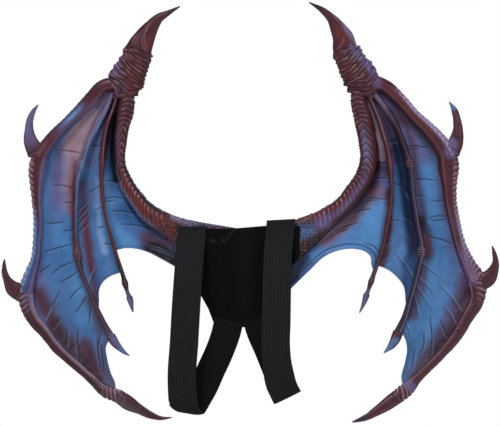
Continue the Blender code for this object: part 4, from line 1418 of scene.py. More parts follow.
@dataclass(frozen=True)
class Tree:
    """A node tree being wired up."""

    tree: bpy.types.NodeTree

    def node(self, kind: str, inputs: Inputs | None = None, **settings: object) -> bpy.types.Node:
        """A new node.

        Args:
            kind: Blender's name for it.
            inputs: What its inputs are set to or linked from, by name or place.
            settings: Its settings.

        Returns:
            The node.
        """
        made = self.tree.nodes.new(kind)
        for name, value in settings.items():
            setattr(made, name, value)
        self.fill(made, inputs or {})
        return made

    def fill(self, node: bpy.types.Node, inputs: Inputs) -> None:
        """Sets a node's inputs, or links them from other nodes' outputs.

        Args:
            node: The node.
            inputs: The values or outputs by the inputs' names or places.
        """
        for key, value in inputs.items():
            if isinstance(value, bpy.types.NodeSocket):
                self.tree.links.new(value, node.inputs[key])
            else:
                node.inputs[key].default_value = value

    def maths(self, operation: str, *values: Value) -> bpy.types.NodeSocket:
        """The result of one sum on sockets or numbers."""
        return self.node("ShaderNodeMath", dict(enumerate(values)), operation=operation).outputs[0]

    def mixed(self, blend: str, share: Value, first: Value, second: Value) -> bpy.types.NodeSocket:
        """Two colours mixed by a share.

        Args:
            blend: How they are mixed.
            share: How much of the second there is.
            first: The first colour.
            second: The second colour.

        Returns:
            The mixed colour.
        """
        made = self.node("ShaderNodeMix", data_type="RGBA", blend_type=blend)
        places = {socket.identifier: place for place, socket in enumerate(made.inputs)}
        values = {"Factor_Float": share, "A_Color": first, "B_Color": second}
        self.fill(made, {places[name]: value for name, value in values.items()})
        return next(socket for socket in made.outputs if socket.identifier == "Result_Color")

    def place(self) -> bpy.types.NodeSocket:
        """The place on the piece, in metres."""
        return self.node("ShaderNodeTexCoord").outputs["Object"]

    def noise(self, size: Value, detail: float) -> bpy.types.NodeSocket:
        """Noise on the piece with that many lumps a metre."""
        inputs = {"Vector": self.place(), "Scale": size, "Detail": detail}
        return self.node("ShaderNodeTexNoise", inputs).outputs["Fac"]

    def noted(self, name: str, output: str) -> bpy.types.NodeSocket:
        """What is kept on the mesh under that name."""
        return self.node("ShaderNodeAttribute", attribute_name=name).outputs[output]

    def wave(self, phase: Value) -> bpy.types.NodeSocket:
        """Rounded crests, one for each whole number."""
        return self.maths("ABSOLUTE", self.maths("SINE", self.maths("MULTIPLY", phase, math.pi)))

    def bump(self, height: Value, strength: float, distance: float) -> bpy.types.NodeSocket:
        """The normal of a bumpy surface, its bumps at most that many metres high."""
        inputs = {"Height": height, "Strength": strength, "Distance": distance}
        return self.node("ShaderNodeBump", inputs).outputs["Normal"]


def new_group(
    name: str, inputs: Inputs, outputs: dict[str, str]
) -> tuple[Tree, dict[str, bpy.types.NodeSocket], bpy.types.Node]:
    """A new node group.

    Args:
        name: The group's name.
        inputs: Each input's default: a number or a colour.
        outputs: Each output's kind of socket.

    Returns:
        The group as a tree, what it is given by name, and its output node.
    """
    group = bpy.data.node_groups.new(name, "ShaderNodeTree")
    for label, value in inputs.items():
        kind = "NodeSocketColor" if isinstance(value, tuple) else "NodeSocketFloat"
        socket = group.interface.new_socket(name=label, in_out="INPUT", socket_type=kind)
        socket.default_value = value
    for label, kind in outputs.items():
        group.interface.new_socket(name=label, in_out="OUTPUT", socket_type=kind)
    tree = Tree(group)
    given = tree.node("NodeGroupInput")
    return tree, {label: given.outputs[label] for label in inputs}, tree.node("NodeGroupOutput")


@cache
def highlight_and_shade_paint_group() -> bpy.types.NodeTree:
    """Paint with painted highlight drybrushed on crests, painted shade washed into grooves, and mottling.

    Returns:
        The node group.
    """
    grey, black = (0.5, 0.5, 0.5, 1.0), (0.0, 0.0, 0.0, 1.0)
    tree, given, out = new_group(
        "highlight_and_shade_paint",
        {
            "Paint": grey, "Crest": 0.0, "Groove": 0.0, "Dry Brush Highlight Colour": grey, "Dry Brush Highlight Amount": 0.5,
            "Wash And Shade Colour": black, "Wash And Shade Amount": 0.5, "Mottle Size": 60.0,
        },
        {"Colour": "NodeSocketColor", "Roughness": "NodeSocketFloat"},
    )
    cloud = tree.noise(given["Mottle Size"], 4.0)
    bristle = tree.maths("MULTIPLY_ADD", tree.noise(420.0, 2.0), 1.3, 0.3)
    # Crests are drybrushed pale: a painted highlight.
    dry_brush_highlight = tree.maths("MULTIPLY", given["Crest"], given["Dry Brush Highlight Amount"])
    dry_brush_highlight = tree.maths("MINIMUM", tree.maths("MULTIPLY", dry_brush_highlight, bristle), 1.0)
    spread = {"Value": cloud, "From Min": 0.3, "From Max": 0.7, "To Min": 0.82, "To Max": 1.16}
    shade = tree.node("ShaderNodeMapRange", spread).outputs["Result"]
    mottle = tree.node("ShaderNodeCombineColor", {"Red": shade, "Green": shade, "Blue": shade})
    coat = tree.mixed("MULTIPLY", 1.0, given["Paint"], mottle.outputs["Color"])
    # Grooves are washed dark: partly paint, partly painted shade.
    wash_and_shade = tree.maths("MULTIPLY", given["Groove"], given["Wash And Shade Amount"])
    coat = tree.mixed("MIX", wash_and_shade, coat, given["Wash And Shade Colour"])
    coat = tree.mixed("MIX", dry_brush_highlight, coat, given["Dry Brush Highlight Colour"])
    rough = tree.maths("MULTIPLY_ADD", cloud, 0.2, 0.3)
    rough = tree.maths("MULTIPLY_ADD", given["Groove"], 0.2, rough)
    tree.fill(out, {"Colour": coat, "Roughness": rough})
    return tree.tree


@cache
def foam_grain_group() -> bpy.types.NodeTree:
    """The pebbled skin of moulded foam, with a few open pores, as a height.

    Returns:
        The node group.
    """
    pores_a_metre, pore_size = 260.0, 0.16
    inputs = {"Grain Size": 700.0, "Pore Depth": 0.3}
    tree, given, out = new_group("foam_grain", inputs, {"Height": "NodeSocketFloat"})
    grain = tree.noise(given["Grain Size"], 3.0)
    pores = tree.node("ShaderNodeTexVoronoi", {"Vector": tree.place(), "Scale": pores_a_metre})
    open_pore = tree.maths("LESS_THAN", pores.outputs["Distance"], pore_size)
    sunk = tree.maths("MULTIPLY", open_pore, given["Pore Depth"])
    tree.fill(out, {"Height": tree.maths("SUBTRACT", grain, sunk)})
    return tree.tree


@cache
def weave_group() -> bpy.types.NodeTree:
    """Crossing threads on the flat cloth: a height, and how lit each thread is.

    Returns:
        The node group.
    """
    tree, given, out = new_group(
        "weave", {"Across Pitch": 1.0, "Along Pitch": 1.0, "Rib Share": 0.5},
        {"Height": "NodeSocketFloat", "Lit": "NodeSocketFloat"},
    )
    parts = tree.node("ShaderNodeSeparateXYZ", {0: tree.noted("flat", "Vector")}).outputs
    across = tree.maths("DIVIDE", parts["X"], given["Across Pitch"])
    along = tree.maths("DIVIDE", parts["Y"], given["Along Pitch"])
    shifted = tree.maths("ADD", along, tree.maths("MULTIPLY", tree.maths("FLOOR", across), 0.5))
    rib = tree.maths("MULTIPLY", tree.wave(across), given["Rib Share"])
    rest = tree.maths("SUBTRACT", 1.0, given["Rib Share"])
    height = tree.maths("ADD", rib, tree.maths("MULTIPLY", tree.wave(shifted), rest))
    seen = tree.maths("SUBTRACT", 1.0, parts["Z"])
    lit = tree.maths("MULTIPLY", tree.maths("POWER", height, 2.0), seen)
    tree.fill(out, {"Height": height, "Lit": lit})
    return tree.tree


@dataclass(frozen=True)
class FoamFinish:
    """Painted, sealed foam: drybrushed painted highlight, washed painted shade, mottling, grain and gloss.
    """

    name: str
    dry_brush_highlight: Colour
    dry_brush_highlight_amount: float
    wash_and_shade: Colour
    wash_and_shade_amount: float
    mottle: float
    grain: float
    depth: float
    gloss: float
    bump: float = 0.35

    def material(self) -> bpy.types.Material:
        """The finish's material.

        Returns:
            The material.
        """
        made, tree, shader = new_material(self.name)
        lit_and_shaded_paint = tree.node("ShaderNodeGroup", node_tree=highlight_and_shade_paint_group())
        tree.fill(lit_and_shaded_paint, {
            "Paint": tree.noted("paint", "Color"),
            "Crest": tree.noted("crest", "Fac"),
            "Groove": tree.noted("groove", "Fac"),
            # The drybrush colour is painted highlight on crests; the wash colour is painted shade in
            # grooves.
            "Dry Brush Highlight Colour": opaque(self.dry_brush_highlight),
            "Dry Brush Highlight Amount": self.dry_brush_highlight_amount,
            "Wash And Shade Colour": opaque(self.wash_and_shade),
            "Wash And Shade Amount": self.wash_and_shade_amount,
            "Mottle Size": self.mottle,
        })
        skin = tree.node("ShaderNodeGroup", node_tree=foam_grain_group())
        tree.fill(skin, {"Grain Size": self.grain})
        tree.fill(shader, {
            "Base Color": lit_and_shaded_paint.outputs["Colour"],
            "Roughness": lit_and_shaded_paint.outputs["Roughness"],
            "Normal": tree.bump(skin.outputs["Height"], self.bump, self.depth),
            "Specular IOR Level": self.gloss,
        })
        return made


@dataclass(frozen=True)
class ClothFinish:
    """Woven black goods: the colours of thread and gap, the threads' pitch and the gloss."""

    name: str
    thread: Colour
    gap: Colour
    across: float
    along: float
    rib_share: float
    roughness: float
    gloss: float
    bump: float = 0.6
    depth: float = 0.0005

    def material(self) -> bpy.types.Material:
        """The finish's material.

        Returns:
            The material.
        """
        made, tree, shader = new_material(self.name)
        weave = tree.node("ShaderNodeGroup", node_tree=weave_group())
        pitches = {"Across Pitch": self.across, "Along Pitch": self.along, "Rib Share": self.rib_share}
        tree.fill(weave, pitches)
        colour = tree.mixed("MIX", weave.outputs["Lit"], opaque(self.gap), opaque(self.thread))
        faded = tree.maths("MULTIPLY", tree.noise(90.0, 5.0), 0.5)
        tree.fill(shader, {
            "Base Color": tree.mixed("MIX", faded, colour, opaque(self.gap)),
            "Normal": tree.bump(weave.outputs["Height"], self.bump, self.depth),
            "Roughness": self.roughness,
            "Specular IOR Level": self.gloss,
        })
        return made


def new_material(name: str) -> tuple[bpy.types.Material, Tree, bpy.types.Node]:
    """A material with its tree and its shader.

    Args:
        name: The material's name.

    Returns:
        The material, its tree and its shader.
    """
    made = bpy.data.materials.new(name)
    made.use_nodes = True
    return made, Tree(made.node_tree), made.node_tree.nodes["Principled BSDF"]


# The foam finishes' pale colours are drybrushed painted highlight on crests, their dark colours washed
# painted shade in grooves.
FINISHES = {
    Slot.FOAM: FoamFinish("painted_foam", (186, 140, 154), 0.6, (18, 8, 12), 0.8, 45.0, 750.0, 0.0006, 0.3),
    Slot.CLAW: FoamFinish("painted_claw", (150, 128, 150), 0.4, (10, 6, 10), 0.9, 60.0, 900.0, 0.0004, 0.35),
    Slot.MEMBRANE: FoamFinish(
        "painted_membrane", (150, 170, 210), 0.6, (8, 12, 28), 0.95, 28.0, 600.0, 0.0005, 0.2
    ),
    Slot.CLOTH: ClothFinish("black_twill", (74, 74, 80), (4, 4, 5), 1.1, 1.1, 0.5, 0.9, 0.08),
    Slot.WEBBING: ClothFinish("ribbed_elastic", (46, 46, 50), (13, 13, 14), 3.1, 0.9, 0.8, 0.85, 0.1),
}


@cache
def material(slot: Slot) -> bpy.types.Material:
    """The slot's material, made once."""
    return FINISHES[slot].material()


# Strokes of paint, creases and veins


LEFT_TRIMS = trims(
    arm=(
        (RUST, -0.5, 0.5, 0.5, 0.86, 0.8), (DUSTY_ROSE, -0.5, -0.1, 0.44, 0.62, 0.25),
        (SLATE, 0.6, 1.3, 0.46, 0.86, 0.75), (INK, -1.3, -0.6, 0.4, 0.95, 0.75),
        (PLUM, -0.2, 1.3, 0.16, 0.45, 0.5),
    ),
    upper_spar=(
        (VIOLET, -0.3, 0.9, 0.36, 0.7, 0.5), (BLUE, -0.1, 0.8, 0.4, 0.6, 0.8),
        (PALE_BLUE, 0.1, 0.5, 0.42, 0.56, 0.3), (DUSTY_ROSE, 0.1, 0.8, 0.8, 1.2, 0.4),
        (PLUM, -0.6, -0.2, 0.2, 1.2, 0.8), (VIOLET, -1.3, -0.6, 0.2, 0.5, 0.6),
        (DEEP_BLUE, -1.3, -0.65, 0.45, 1.2, 0.85), (INK, 0.85, 1.3, -0.2, 1.2, 0.8),
    ),
    outer_spar=(
        (BLUE, -1.3, -0.72, -0.2, 0.6, 0.7), (ROSE_GREY, 0.7, 1.3, -0.1, 0.42, 0.4),
        (DEEP_BLUE, -0.45, 0.4, 0.5, 1.2, 0.6), (BLUE, 0.25, 1.3, 0.42, 0.98, 0.9),
        (BRIGHT_BLUE, 0.45, 1.3, 0.44, 0.92, 0.6), (PALE_BLUE, 0.75, 1.3, 0.46, 0.95, 0.4),
        (VIOLET, -0.9, -0.3, -0.2, 1.2, 0.45),
    ),
    lower_spar=(
        (SLATE, -1.3, -0.5, -0.2, 0.85, 0.75), (VIOLET, -1.3, 0.6, -0.2, 0.07, 0.85),
        (ROSE_GREY, -0.9, -0.3, 0.0, 1.2, 0.4), (DEEP_MAROON, -0.3, 1.3, -0.2, 1.2, 0.5),
    ),
    tip_claw=(
        (ROSE_GREY, -0.2, 0.9, -0.2, 0.5, 0.2),
    ),
    middle_finger=(
        (SLATE, -1.3, 1.3, -0.2, 0.34, 0.95), (BLUE, -1.3, 0.0, 0.08, 0.56, 0.8),
        (DUSTY_ROSE, 0.5, 1.3, -0.2, 0.34, 0.8), (RUST, 0.2, 1.3, 0.36, 0.6, 0.5),
        (PLUM, -1.3, 1.3, 0.62, 1.2, 0.8), (INK, -1.3, 0.0, 0.66, 1.2, 0.6),
    ),
    inner_finger=(
        (WINE, -1.3, 1.3, 0.84, 1.2, 0.8),
    ),
)
LEFT_RIDGES = {
    "thumb_horn": (
        ((154, 19), (147, 27), (143.5, 35), (142, 42), (143, 48), (149.5, 54.5)),
        ((150, 25), (144.8, 34), (144.6, 43), (146, 48), (149.5, 51.5)),
        ((138, 33), (134, 38), (131.5, 44)),
    ),
    "middle_finger": (
        ((113, 88), (104, 104), (96, 124), (88, 144), (83, 162)),
        ((115, 90), (107, 106), (99, 126), (92, 146)),
    ),
    "inner_finger": (((117, 94), (112, 110), (106, 130), (103, 150), (101.5, 162)),),
    "upper_claw": (((36, 107), (28, 122), (26, 140)), ((37, 108), (31, 122), (30, 138))),
}
LEFT_MEMBRANE_STROKES = strokes(
    (BRIGHT_BLUE, 10, 14, 0.6, (56, 215), (60, 245), (68, 275), (78, 296), (86, 316)),
    (VIOLET, 12, 16, 0.7, (70, 138), (61, 165), (59, 196)),
    (PLUM, 4, 10, 0.5, (57, 150), (53, 178)),
    (VIOLET, 6, 14, 0.5, (56, 165), (55, 196), (55, 216)),
    (ROSE_GREY, 17, 9, 0.98, (106, 84), (92, 108), (78, 134), (73, 147)),
    (ROSE_GREY, 8, 8, 0.7, (72, 148), (70, 170), (70, 186)),
    (ROSE_GREY, 4, 10, 0.5, (70, 186), (69, 206)),
    (DUSTY_ROSE, 3, 5, 0.7, (74, 160), (71, 185), (71, 215)),
    (MAROON, 3, 4, 0.8, (77, 165), (74, 190), (74, 228), (76, 255)),
    # Painted shade under the upper spar.
    (PLUM, 2, 4, 0.8, (104, 86), (88, 104), (68, 126), (54, 146)),
    (BLUE, 4, 4, 0.8, (53, 152), (49, 172), (47, 190), (46, 212)),
    (BLUE, 10, 10, 0.6, (50, 215), (46, 240), (48, 262)),
    (VIOLET, 6, 7, 0.7, (39, 270), (40, 290)),
    (PLUM, 12, 15, 0.75, (40, 296), (52, 320), (68, 340), (90, 362), (106, 382)),
    (MAROON, 5, 9, 0.8, (39, 296), (46, 311), (53, 323)),
    (DEEP_MAROON, 8, 11, 0.9, (54, 325), (63, 340), (76, 353), (90, 366), (104, 382)),
    (MAROON, 5, 11, 0.75, (86, 344), (93, 356), (100, 370)),
    (DEEP_BLUE, 4, 8, 0.5, (68, 318), (72, 328)),
    (PLUM, 4, 6, 0.7, (88, 300), (96, 318), (101, 332)),
    (SLATE, 8, 8, 0.7, (101, 342), (103, 358), (112, 380)),
    (SLATE, 9, 8, 0.8, (113, 86), (104, 110), (96, 140), (94, 160)),
    (MAROON, 7, 3, 0.95, (117, 92), (111, 112), (106, 138), (103, 158)),
    (SLATE, 7, 8, 0.5, (98, 172), (94, 200)),
    (PALE_BLUE, 3, 6, 0.45, (99, 180), (99, 206)),
    (PALE_BLUE, 2, 4, 0.6, (99, 206), (100, 233), (105, 252)),
    (MAROON, 3, 8, 0.85, (83, 184), (84, 206), (86, 233), (90, 262), (94, 284), (97, 300)),
    (RUST, 3, 5, 0.5, (84, 215), (88, 245), (92, 268)),
    (DEEP_BLUE, 4, 8, 0.4, (101, 262), (100, 280)),
    (BRIGHT_BLUE, 14, 14, 0.6, (112, 205), (116, 228), (124, 238)),
    (DEEP_BLUE, 14, 12, 0.75, (122, 212), (136, 224), (150, 238)),
    # Painted shadow in the gap between the fold and the arm.
    (BLACK, 8, 4, 0.97, (127, 98), (120, 112), (116, 130), (114, 150), (118, 178)),
    # Painted shadow under the arm's lower edge.
    (NAVY, 3, 5, 0.85, (121, 182), (133, 208), (150, 226), (168, 240)),
    (PLUM, 8, 10, 0.8, (146, 238), (160, 246)),
    (PLUM, 8, 8, 0.8, (150, 240), (166, 246)),
    (BLACK, 12, 9, 0.98, (152, 253), (166, 258), (182, 268)),
    (WINE, 5, 6, 0.9, (150, 248), (164, 252), (178, 258)),
)
LEFT_BONE_STROKES = strokes(
    (INK, 5, 8, 0.85, (180, 4), (173, 10)),
    (PLUM, 6, 6, 0.6, (114, 66), (116, 80), (122, 92)),
    (VIOLET, 2, 5, 0.4, (120, 58), (113, 74)),
    (RUST, 6, 7, 0.35, (138, 60), (132, 76), (130, 88)),
    (RUST, 4, 5, 0.5, (158, 30), (149, 44)),
    # Painted shadow along the arm's membrane side.
    (BLACK, 4, 3, 0.9, (116, 106), (112, 135), (113.5, 160), (118, 180)),
    (RUST, 10, 6, 0.6, (166, 220), (178, 238), (184, 262)),
    (INK, 8, 6, 0.6, (180, 232), (176, 246), (188, 262)),
    (PALE_VIOLET, 5, 3, 0.85, (173, 216), (180, 219), (190, 223)),
    (SLATE, 4, 4, 0.7, (194, 222), (236, 228)),
    (SLATE, 5, 6, 0.8, (37, 105), (30, 118), (27, 130)),
    (VIOLET, 8, 8, 0.5, (27, 132), (30, 142)),
    (PLUM, 8, 8, 0.6, (100, 382), (118, 396)),
    (DEEP_MAROON, 8, 8, 0.6, (130, 404), (150, 413)),
    (VIOLET, 4, 4, 0.7, (112, 336), (117, 343)),
    (BLUE, 4, 4, 0.7, (121, 348), (128, 354)),
    (WINE, 4, 5, 0.8, (118, 262), (127, 288)),
    (SLATE, 3, 4, 0.8, (127, 294), (131, 306)),
)
LEFT_CREASES = (
    ((61, 150), (70, 151), (80, 153)), ((54, 185), (64, 185.5), (74, 189)), ((65, 202), (73, 203)),
    ((46, 224), (63, 222)), ((63, 231), (74, 230)), ((44, 252), (57, 248), (73, 244)),
    ((52, 274), (60, 267), (74, 261)), ((60, 283), (70, 277), (78, 271)),
    ((69, 300), (75, 292), (83, 285)), ((75, 313), (81, 305), (87, 296)),
    ((89, 324), (90, 314), (91, 305)), ((47, 317), (52, 307), (60, 290)), ((54, 328), (60, 318)),
    ((67, 348), (67, 328)), ((80, 361), (78, 344), (78, 330)), ((97, 349), (101, 334)),
    ((40, 272), (51, 265)), ((101, 372), (98, 352), (97, 338)), ((104, 374), (102, 356), (101, 344)),
    ((92, 146), (101, 146)), ((90, 192), (101, 185)), ((78, 211), (86, 202)), ((78, 218), (88, 206)),
    ((78, 225), (88, 213)), ((79, 232), (89, 221)), ((97, 209), (102, 207)), ((98, 228), (106, 226)),
    ((104, 243), (112, 245)), ((106, 181), (113, 181), (120, 184)),
    ((105, 199), (113, 197), (123, 198)), ((105, 202), (115, 200)),
    ((112, 211), (122, 211), (135, 213)), ((121, 224), (136, 225), (152, 229)),
    ((147, 243), (160, 247), (176, 254)), ((150, 246.5), (162, 250.5), (178, 258)),
)
LEFT_VEINS = (
    ((88, 285), (91, 276), (95, 268)), ((46, 321), (49, 314), (53, 305)),
)

RIGHT_TRIMS = trims(
    arm=(
        (SLATE, -0.56, 0.12, 0.22, 0.42, 0.85), (RUST, -0.8, -0.2, 0.52, 0.9, 0.5),
        (VIOLET, -0.25, 0.45, 0.48, 0.84, 0.5), (DEEP_MAROON, 0.6, 1.3, 0.42, 1.2, 0.75),
        (INK, -1.3, -0.85, 0.4, 1.2, 0.6),
    ),
    upper_spar=(
        (RUST, -0.3, 0.3, 0.1, 0.75, 0.4), (PALE_VIOLET, 0.42, 1.3, 0.28, 1.2, 0.95),
        (NAVY, 0.93, 1.3, 0.1, 1.2, 0.9), (DEEP_MAROON, -1.3, -0.5, -0.2, 1.2, 0.6),
    ),
    outer_spar=(
        (DEEP_MAROON, -1.3, -0.8, -0.2, 1.2, 0.7), (PLUM, -0.8, 0.3, 0.4, 1.2, 0.7),
        (DUSTY_ROSE, 0.45, 1.3, 0.05, 0.45, 0.35), (PALE_VIOLET, 0.4, 1.3, 0.42, 0.85, 0.7),
        (PLUM, -0.5, 1.3, 0.85, 1.2, 0.7),
    ),
    lower_spar=(
        (PLUM, 0.3, 1.3, -0.2, 1.2, 0.6),
    ),
    middle_finger=(
        (SLATE, -1.3, 1.3, -0.2, 0.1, 0.9), (WINE, -1.3, 1.3, 0.12, 0.34, 0.75),
        (INK, -1.3, 1.3, 0.34, 1.2, 0.85), (PALE_VIOLET, 0.35, 0.7, 0.36, 1.2, 0.4),
    ),
    inner_finger=(
        (WINE, -1.3, -0.5, -0.2, 0.5, 0.7), (DUSTY_ROSE, 0.3, 0.8, -0.2, 0.45, 0.5),
        (WINE, -1.3, 1.3, 0.84, 1.2, 0.7),
    ),
)
RIGHT_RIDGES = {
    "thumb_horn": (
        ((329, 10.5), (337.5, 20), (344.5, 30), (350, 39), (353.5, 45)),
        ((343.5, 35), (344, 41), (340, 47), (334.5, 51)),
    ),
    "middle_finger": (((371, 92), (379, 101), (387, 112)), ((373, 91), (381, 100), (389, 111))),
    "inner_finger": (((368, 94), (374, 106), (380, 120), (385, 136), (389, 156)),),
    "upper_claw": (((453, 106), (457, 120), (456, 138)), ((455, 112), (460, 124), (459, 140))),
}
RIGHT_MEMBRANE_STROKES = strokes(
    (BRIGHT_BLUE, 12, 14, 0.7, (424, 172), (432, 200), (432, 235), (428, 290), (422, 336)),
    (VIOLET, 14, 12, 0.8, (408, 125), (420, 152)),
    (PLUM, 10, 10, 0.9, (384, 84), (394, 100), (402, 118)),
    (DEEP_MAROON, 5, 8, 0.6, (390, 84), (402, 102), (414, 122)),
    (INK, 6, 6, 0.7, (382, 82), (400, 106), (420, 130), (434, 148)),
    (PLUM, 3, 6, 0.85, (404, 112), (413, 150), (419, 190), (423, 225)),
    (DEEP_MAROON, 9, 7, 0.9, (419, 222), (425, 240), (426, 254)),
    (RUST, 3, 6, 0.5, (427, 238), (430, 250)),
    (PLUM, 6, 6, 0.8, (423, 266), (421, 285), (417, 298), (411, 315)),
    (INK, 2, 4, 0.6, (419, 268), (414, 296), (407, 318)),
    (PLUM, 4, 7, 0.75, (424, 125), (438, 150), (441, 178), (447, 215)),
    (SLATE, 4, 7, 0.6, (447, 215), (455, 245), (462, 270)),
    (VIOLET, 8, 8, 0.6, (455, 240), (464, 268), (466, 285)),
    (PLUM, 14, 10, 0.85, (468, 284), (462, 302), (454, 322), (442, 340), (430, 357), (418, 374)),
    (DEEP_MAROON, 6, 6, 0.8, (468, 292), (460, 314), (450, 334), (436, 352), (420, 374)),
    (PLUM, 9, 7, 0.9, (374, 92), (385, 114), (391, 138), (393, 158)),
    (INK, 4, 5, 0.8, (389, 112), (396, 132), (400, 150)),
    (VIOLET, 3, 5, 0.6, (390, 146), (393, 172)),
    (BLACK, 6, 4, 0.85, (401, 142), (406, 170), (411, 198), (414, 225), (416, 250)),
    (NAVY, 9, 6, 0.85, (398, 142), (403, 170), (408, 198), (411, 225), (412, 255), (408, 285), (402, 305)),
    (BLUE, 5, 6, 0.6, (393, 182), (396, 205), (398, 238)),
    (DEEP_BLUE, 4, 6, 0.7, (409, 262), (407, 285), (405, 300)),
    (PLUM, 9, 8, 0.85, (385, 156), (383, 172), (374, 190)),
    (VIOLET, 7, 8, 0.6, (384, 178), (381, 198)),
    (PLUM, 5, 5, 0.9, (388, 196), (388, 225), (384, 250), (380, 268)),
    (MAROON, 3, 4, 0.8, (389, 190), (389.5, 225), (386, 250), (382, 266)),
    (BRIGHT_BLUE, 12, 12, 0.9, (374, 210), (366, 228), (370, 240)),
    (DEEP_MAROON, 7, 4, 0.95, (368, 104), (374, 125), (376, 145), (375, 165), (368, 188)),
    # Painted highlight along a raised fold between the arm and the inner finger.
    (ROSE_GREY, 4, 2.5, 0.9, (368.5, 98), (374, 115), (379, 132), (381.5, 145)),
    (ROSE_GREY, 6, 3, 0.9, (379, 134), (382, 148), (383, 158)),
    # Painted shade line beside that fold.
    (INK, 0.8, 1.2, 0.8, (366, 96), (375, 111), (381, 124), (385, 140)),
    (PLUM, 3, 3, 0.5, (384, 150), (385, 172)),
    (DEEP_MAROON, 4, 5, 0.85, (366, 193), (354, 209), (332, 228), (314, 243), (296, 260)),
    # Painted highlight on the lit side of the fold below the arm.
    (DUSTY_ROSE, 4, 8, 0.8, (324, 241), (342, 229), (355, 218)),
    (DUSTY_ROSE, 4, 8, 0.6, (362, 210), (370, 200), (378, 190)),
    # Painted shade along that fold.
    (INK, 2, 4, 0.8, (362, 196), (348, 211), (330, 225), (312, 240)),
    (INK, 12, 10, 0.9, (299, 262), (290, 276)),
    (DEEP_BLUE, 3, 3, 0.8, (303, 273), (325, 256)),
)
RIGHT_BONE_STROKES = strokes(
    (INK, 4, 7, 0.85, (309, 1), (316, 6)),
    (VIOLET, 3, 6, 0.55, (359, 48), (369, 62), (377, 76), (377, 84)),
    (RUST, 6, 8, 0.3, (342, 56), (350, 72)),
    (VIOLET, 3, 4, 0.6, (351, 47), (359, 56), (372, 70)),
    (RUST, 4, 5, 0.5, (336, 28), (343, 42)),
    # Painted highlight along the horn's outer ridge.
    (PALE_VIOLET, 1, 2.5, 0.7, (331, 9), (341, 19), (350, 33), (356, 44)),
    (MAROON, 6, 4, 0.8, (306, 248), (322, 238)),
    (RUST, 4, 5, 0.6, (292, 221), (304, 218), (318, 213)),
    (VIOLET, 5, 8, 0.8, (296, 232), (310, 229), (326, 221)),
    (DEEP_BLUE, 3, 5, 0.95, (297, 227), (308, 227)),
    (BLUE, 3, 5, 0.95, (299, 233), (312, 231)),
    (BLUE, 2, 5, 0.9, (300, 238), (307, 236)),
    (DEEP_MAROON, 6, 5, 0.95, (298, 250), (308, 245), (322, 238)),
    (BLACK, 4, 7, 0.5, (298, 254), (310, 249), (320, 240)),
    (BLUE, 4, 4, 0.8, (450, 100), (453, 107)),
    (VIOLET, 7, 5, 0.7, (451, 143), (450, 152)),
    (VIOLET, 6, 8, 0.5, (466, 255), (474, 280)),
    (MAROON, 6, 6, 0.8, (492, 250), (490, 272), (482, 284)),
    (VIOLET, 6, 5, 0.6, (406, 382), (414, 390)),
    (INK, 4, 8, 0.8, (352, 421), (362, 418)),
    (BLUE, 4, 4, 0.75, (396, 340), (386, 351)),
    (PLUM, 4, 5, 0.6, (378, 262), (369, 288)),
    (SLATE, 4, 4, 0.8, (366, 292), (362, 308)),
)
RIGHT_CREASES = (
    ((407, 147), (418, 146), (428, 148)), ((408, 149.5), (420, 148.5)),
    ((415, 180), (426, 179), (437, 181)), ((416, 196), (423, 196)), ((432, 201), (444, 201)),
    ((428, 219), (437, 216), (446, 216)), ((430, 221), (445, 219.5)),
    ((427, 236), (440, 239), (452, 244)), ((388, 141.3), (396, 141.3)), ((393.6, 183), (402, 186)),
    ((404, 187), (410.5, 199)), ((402, 214), (411.5, 221)), ((389, 220), (399, 220)),
    ((386, 245), (389, 241), (393, 240)), ((381, 262), (384, 258), (387, 257)),
    ((379, 163), (388, 163)), ((377, 178), (391, 178)), ((364.5, 197), (375, 198), (387, 200)),
    ((366, 199.5), (380, 200.5)), ((354, 213), (361, 210), (370, 209)),
    ((335, 231), (346, 226), (358, 223)), ((337, 233), (348, 228.5)),
    ((359, 202), (345, 216), (332, 228), (315, 245), (295, 262)), ((365, 243), (374, 246), (381, 255)),
    ((440, 320), (444, 329), (447.5, 338)), ((430, 316), (432, 338), (431, 355)),
    ((412, 370), (413, 361), (415, 350)), ((421, 353), (424, 344), (424, 332)),
)
RIGHT_VEINS = (
    ((421, 261), (430, 268), (440, 276)), ((419, 277), (427, 284), (435, 293)),
    ((416, 284), (424, 295), (431, 307)), ((414, 292), (418, 306), (420, 319)),
    ((406, 320), (410, 330), (413, 339)), ((440, 284), (452, 296), (463, 312)),
    ((445, 306), (452, 315), (457, 326)), ((397.5, 254), (406, 264), (413, 276)),
)


def put(
    name: str, content: bpy.types.ID, place: Place = (0.0, 0.0, 0.0), turn: Place = (0.0, 0.0, 0.0)
) -> bpy.types.Object:
    """Puts a lamp, camera or mesh in the studio.

    Args:
        name: The object's name.
        content: The lamp, camera or mesh.
        place: Where it stands, in metres.
        turn: How it is turned, in radians.

    Returns:
        The object.
    """
    made = bpy.data.objects.new(name, content)
    made.location = place
    made.rotation_euler = turn
    bpy.context.scene.collection.objects.link(made)
    return made


@dataclass(frozen=True)
class Lamp:
    """A soft box: where it hangs, what it points at, its size and its power."""

    name: str
    place: Place
    target: Place
    size: float
    watts: float
    tint: Colour = (1.0, 1.0, 1.0)

    def hang(self) -> None:
        """Hangs the lamp in the studio."""
        light = bpy.data.lights.new(self.name, "AREA")
        light.shape = "DISK"
        light.size = self.size
        light.energy = self.watts
        light.color = self.tint
        way = np.array(self.target) - np.array(self.place)
        flat = math.hypot(way[0], way[1])
        put(self.name, light, self.place, (math.atan2(flat, -way[2]), 0.0, math.atan2(-way[0], way[1])))


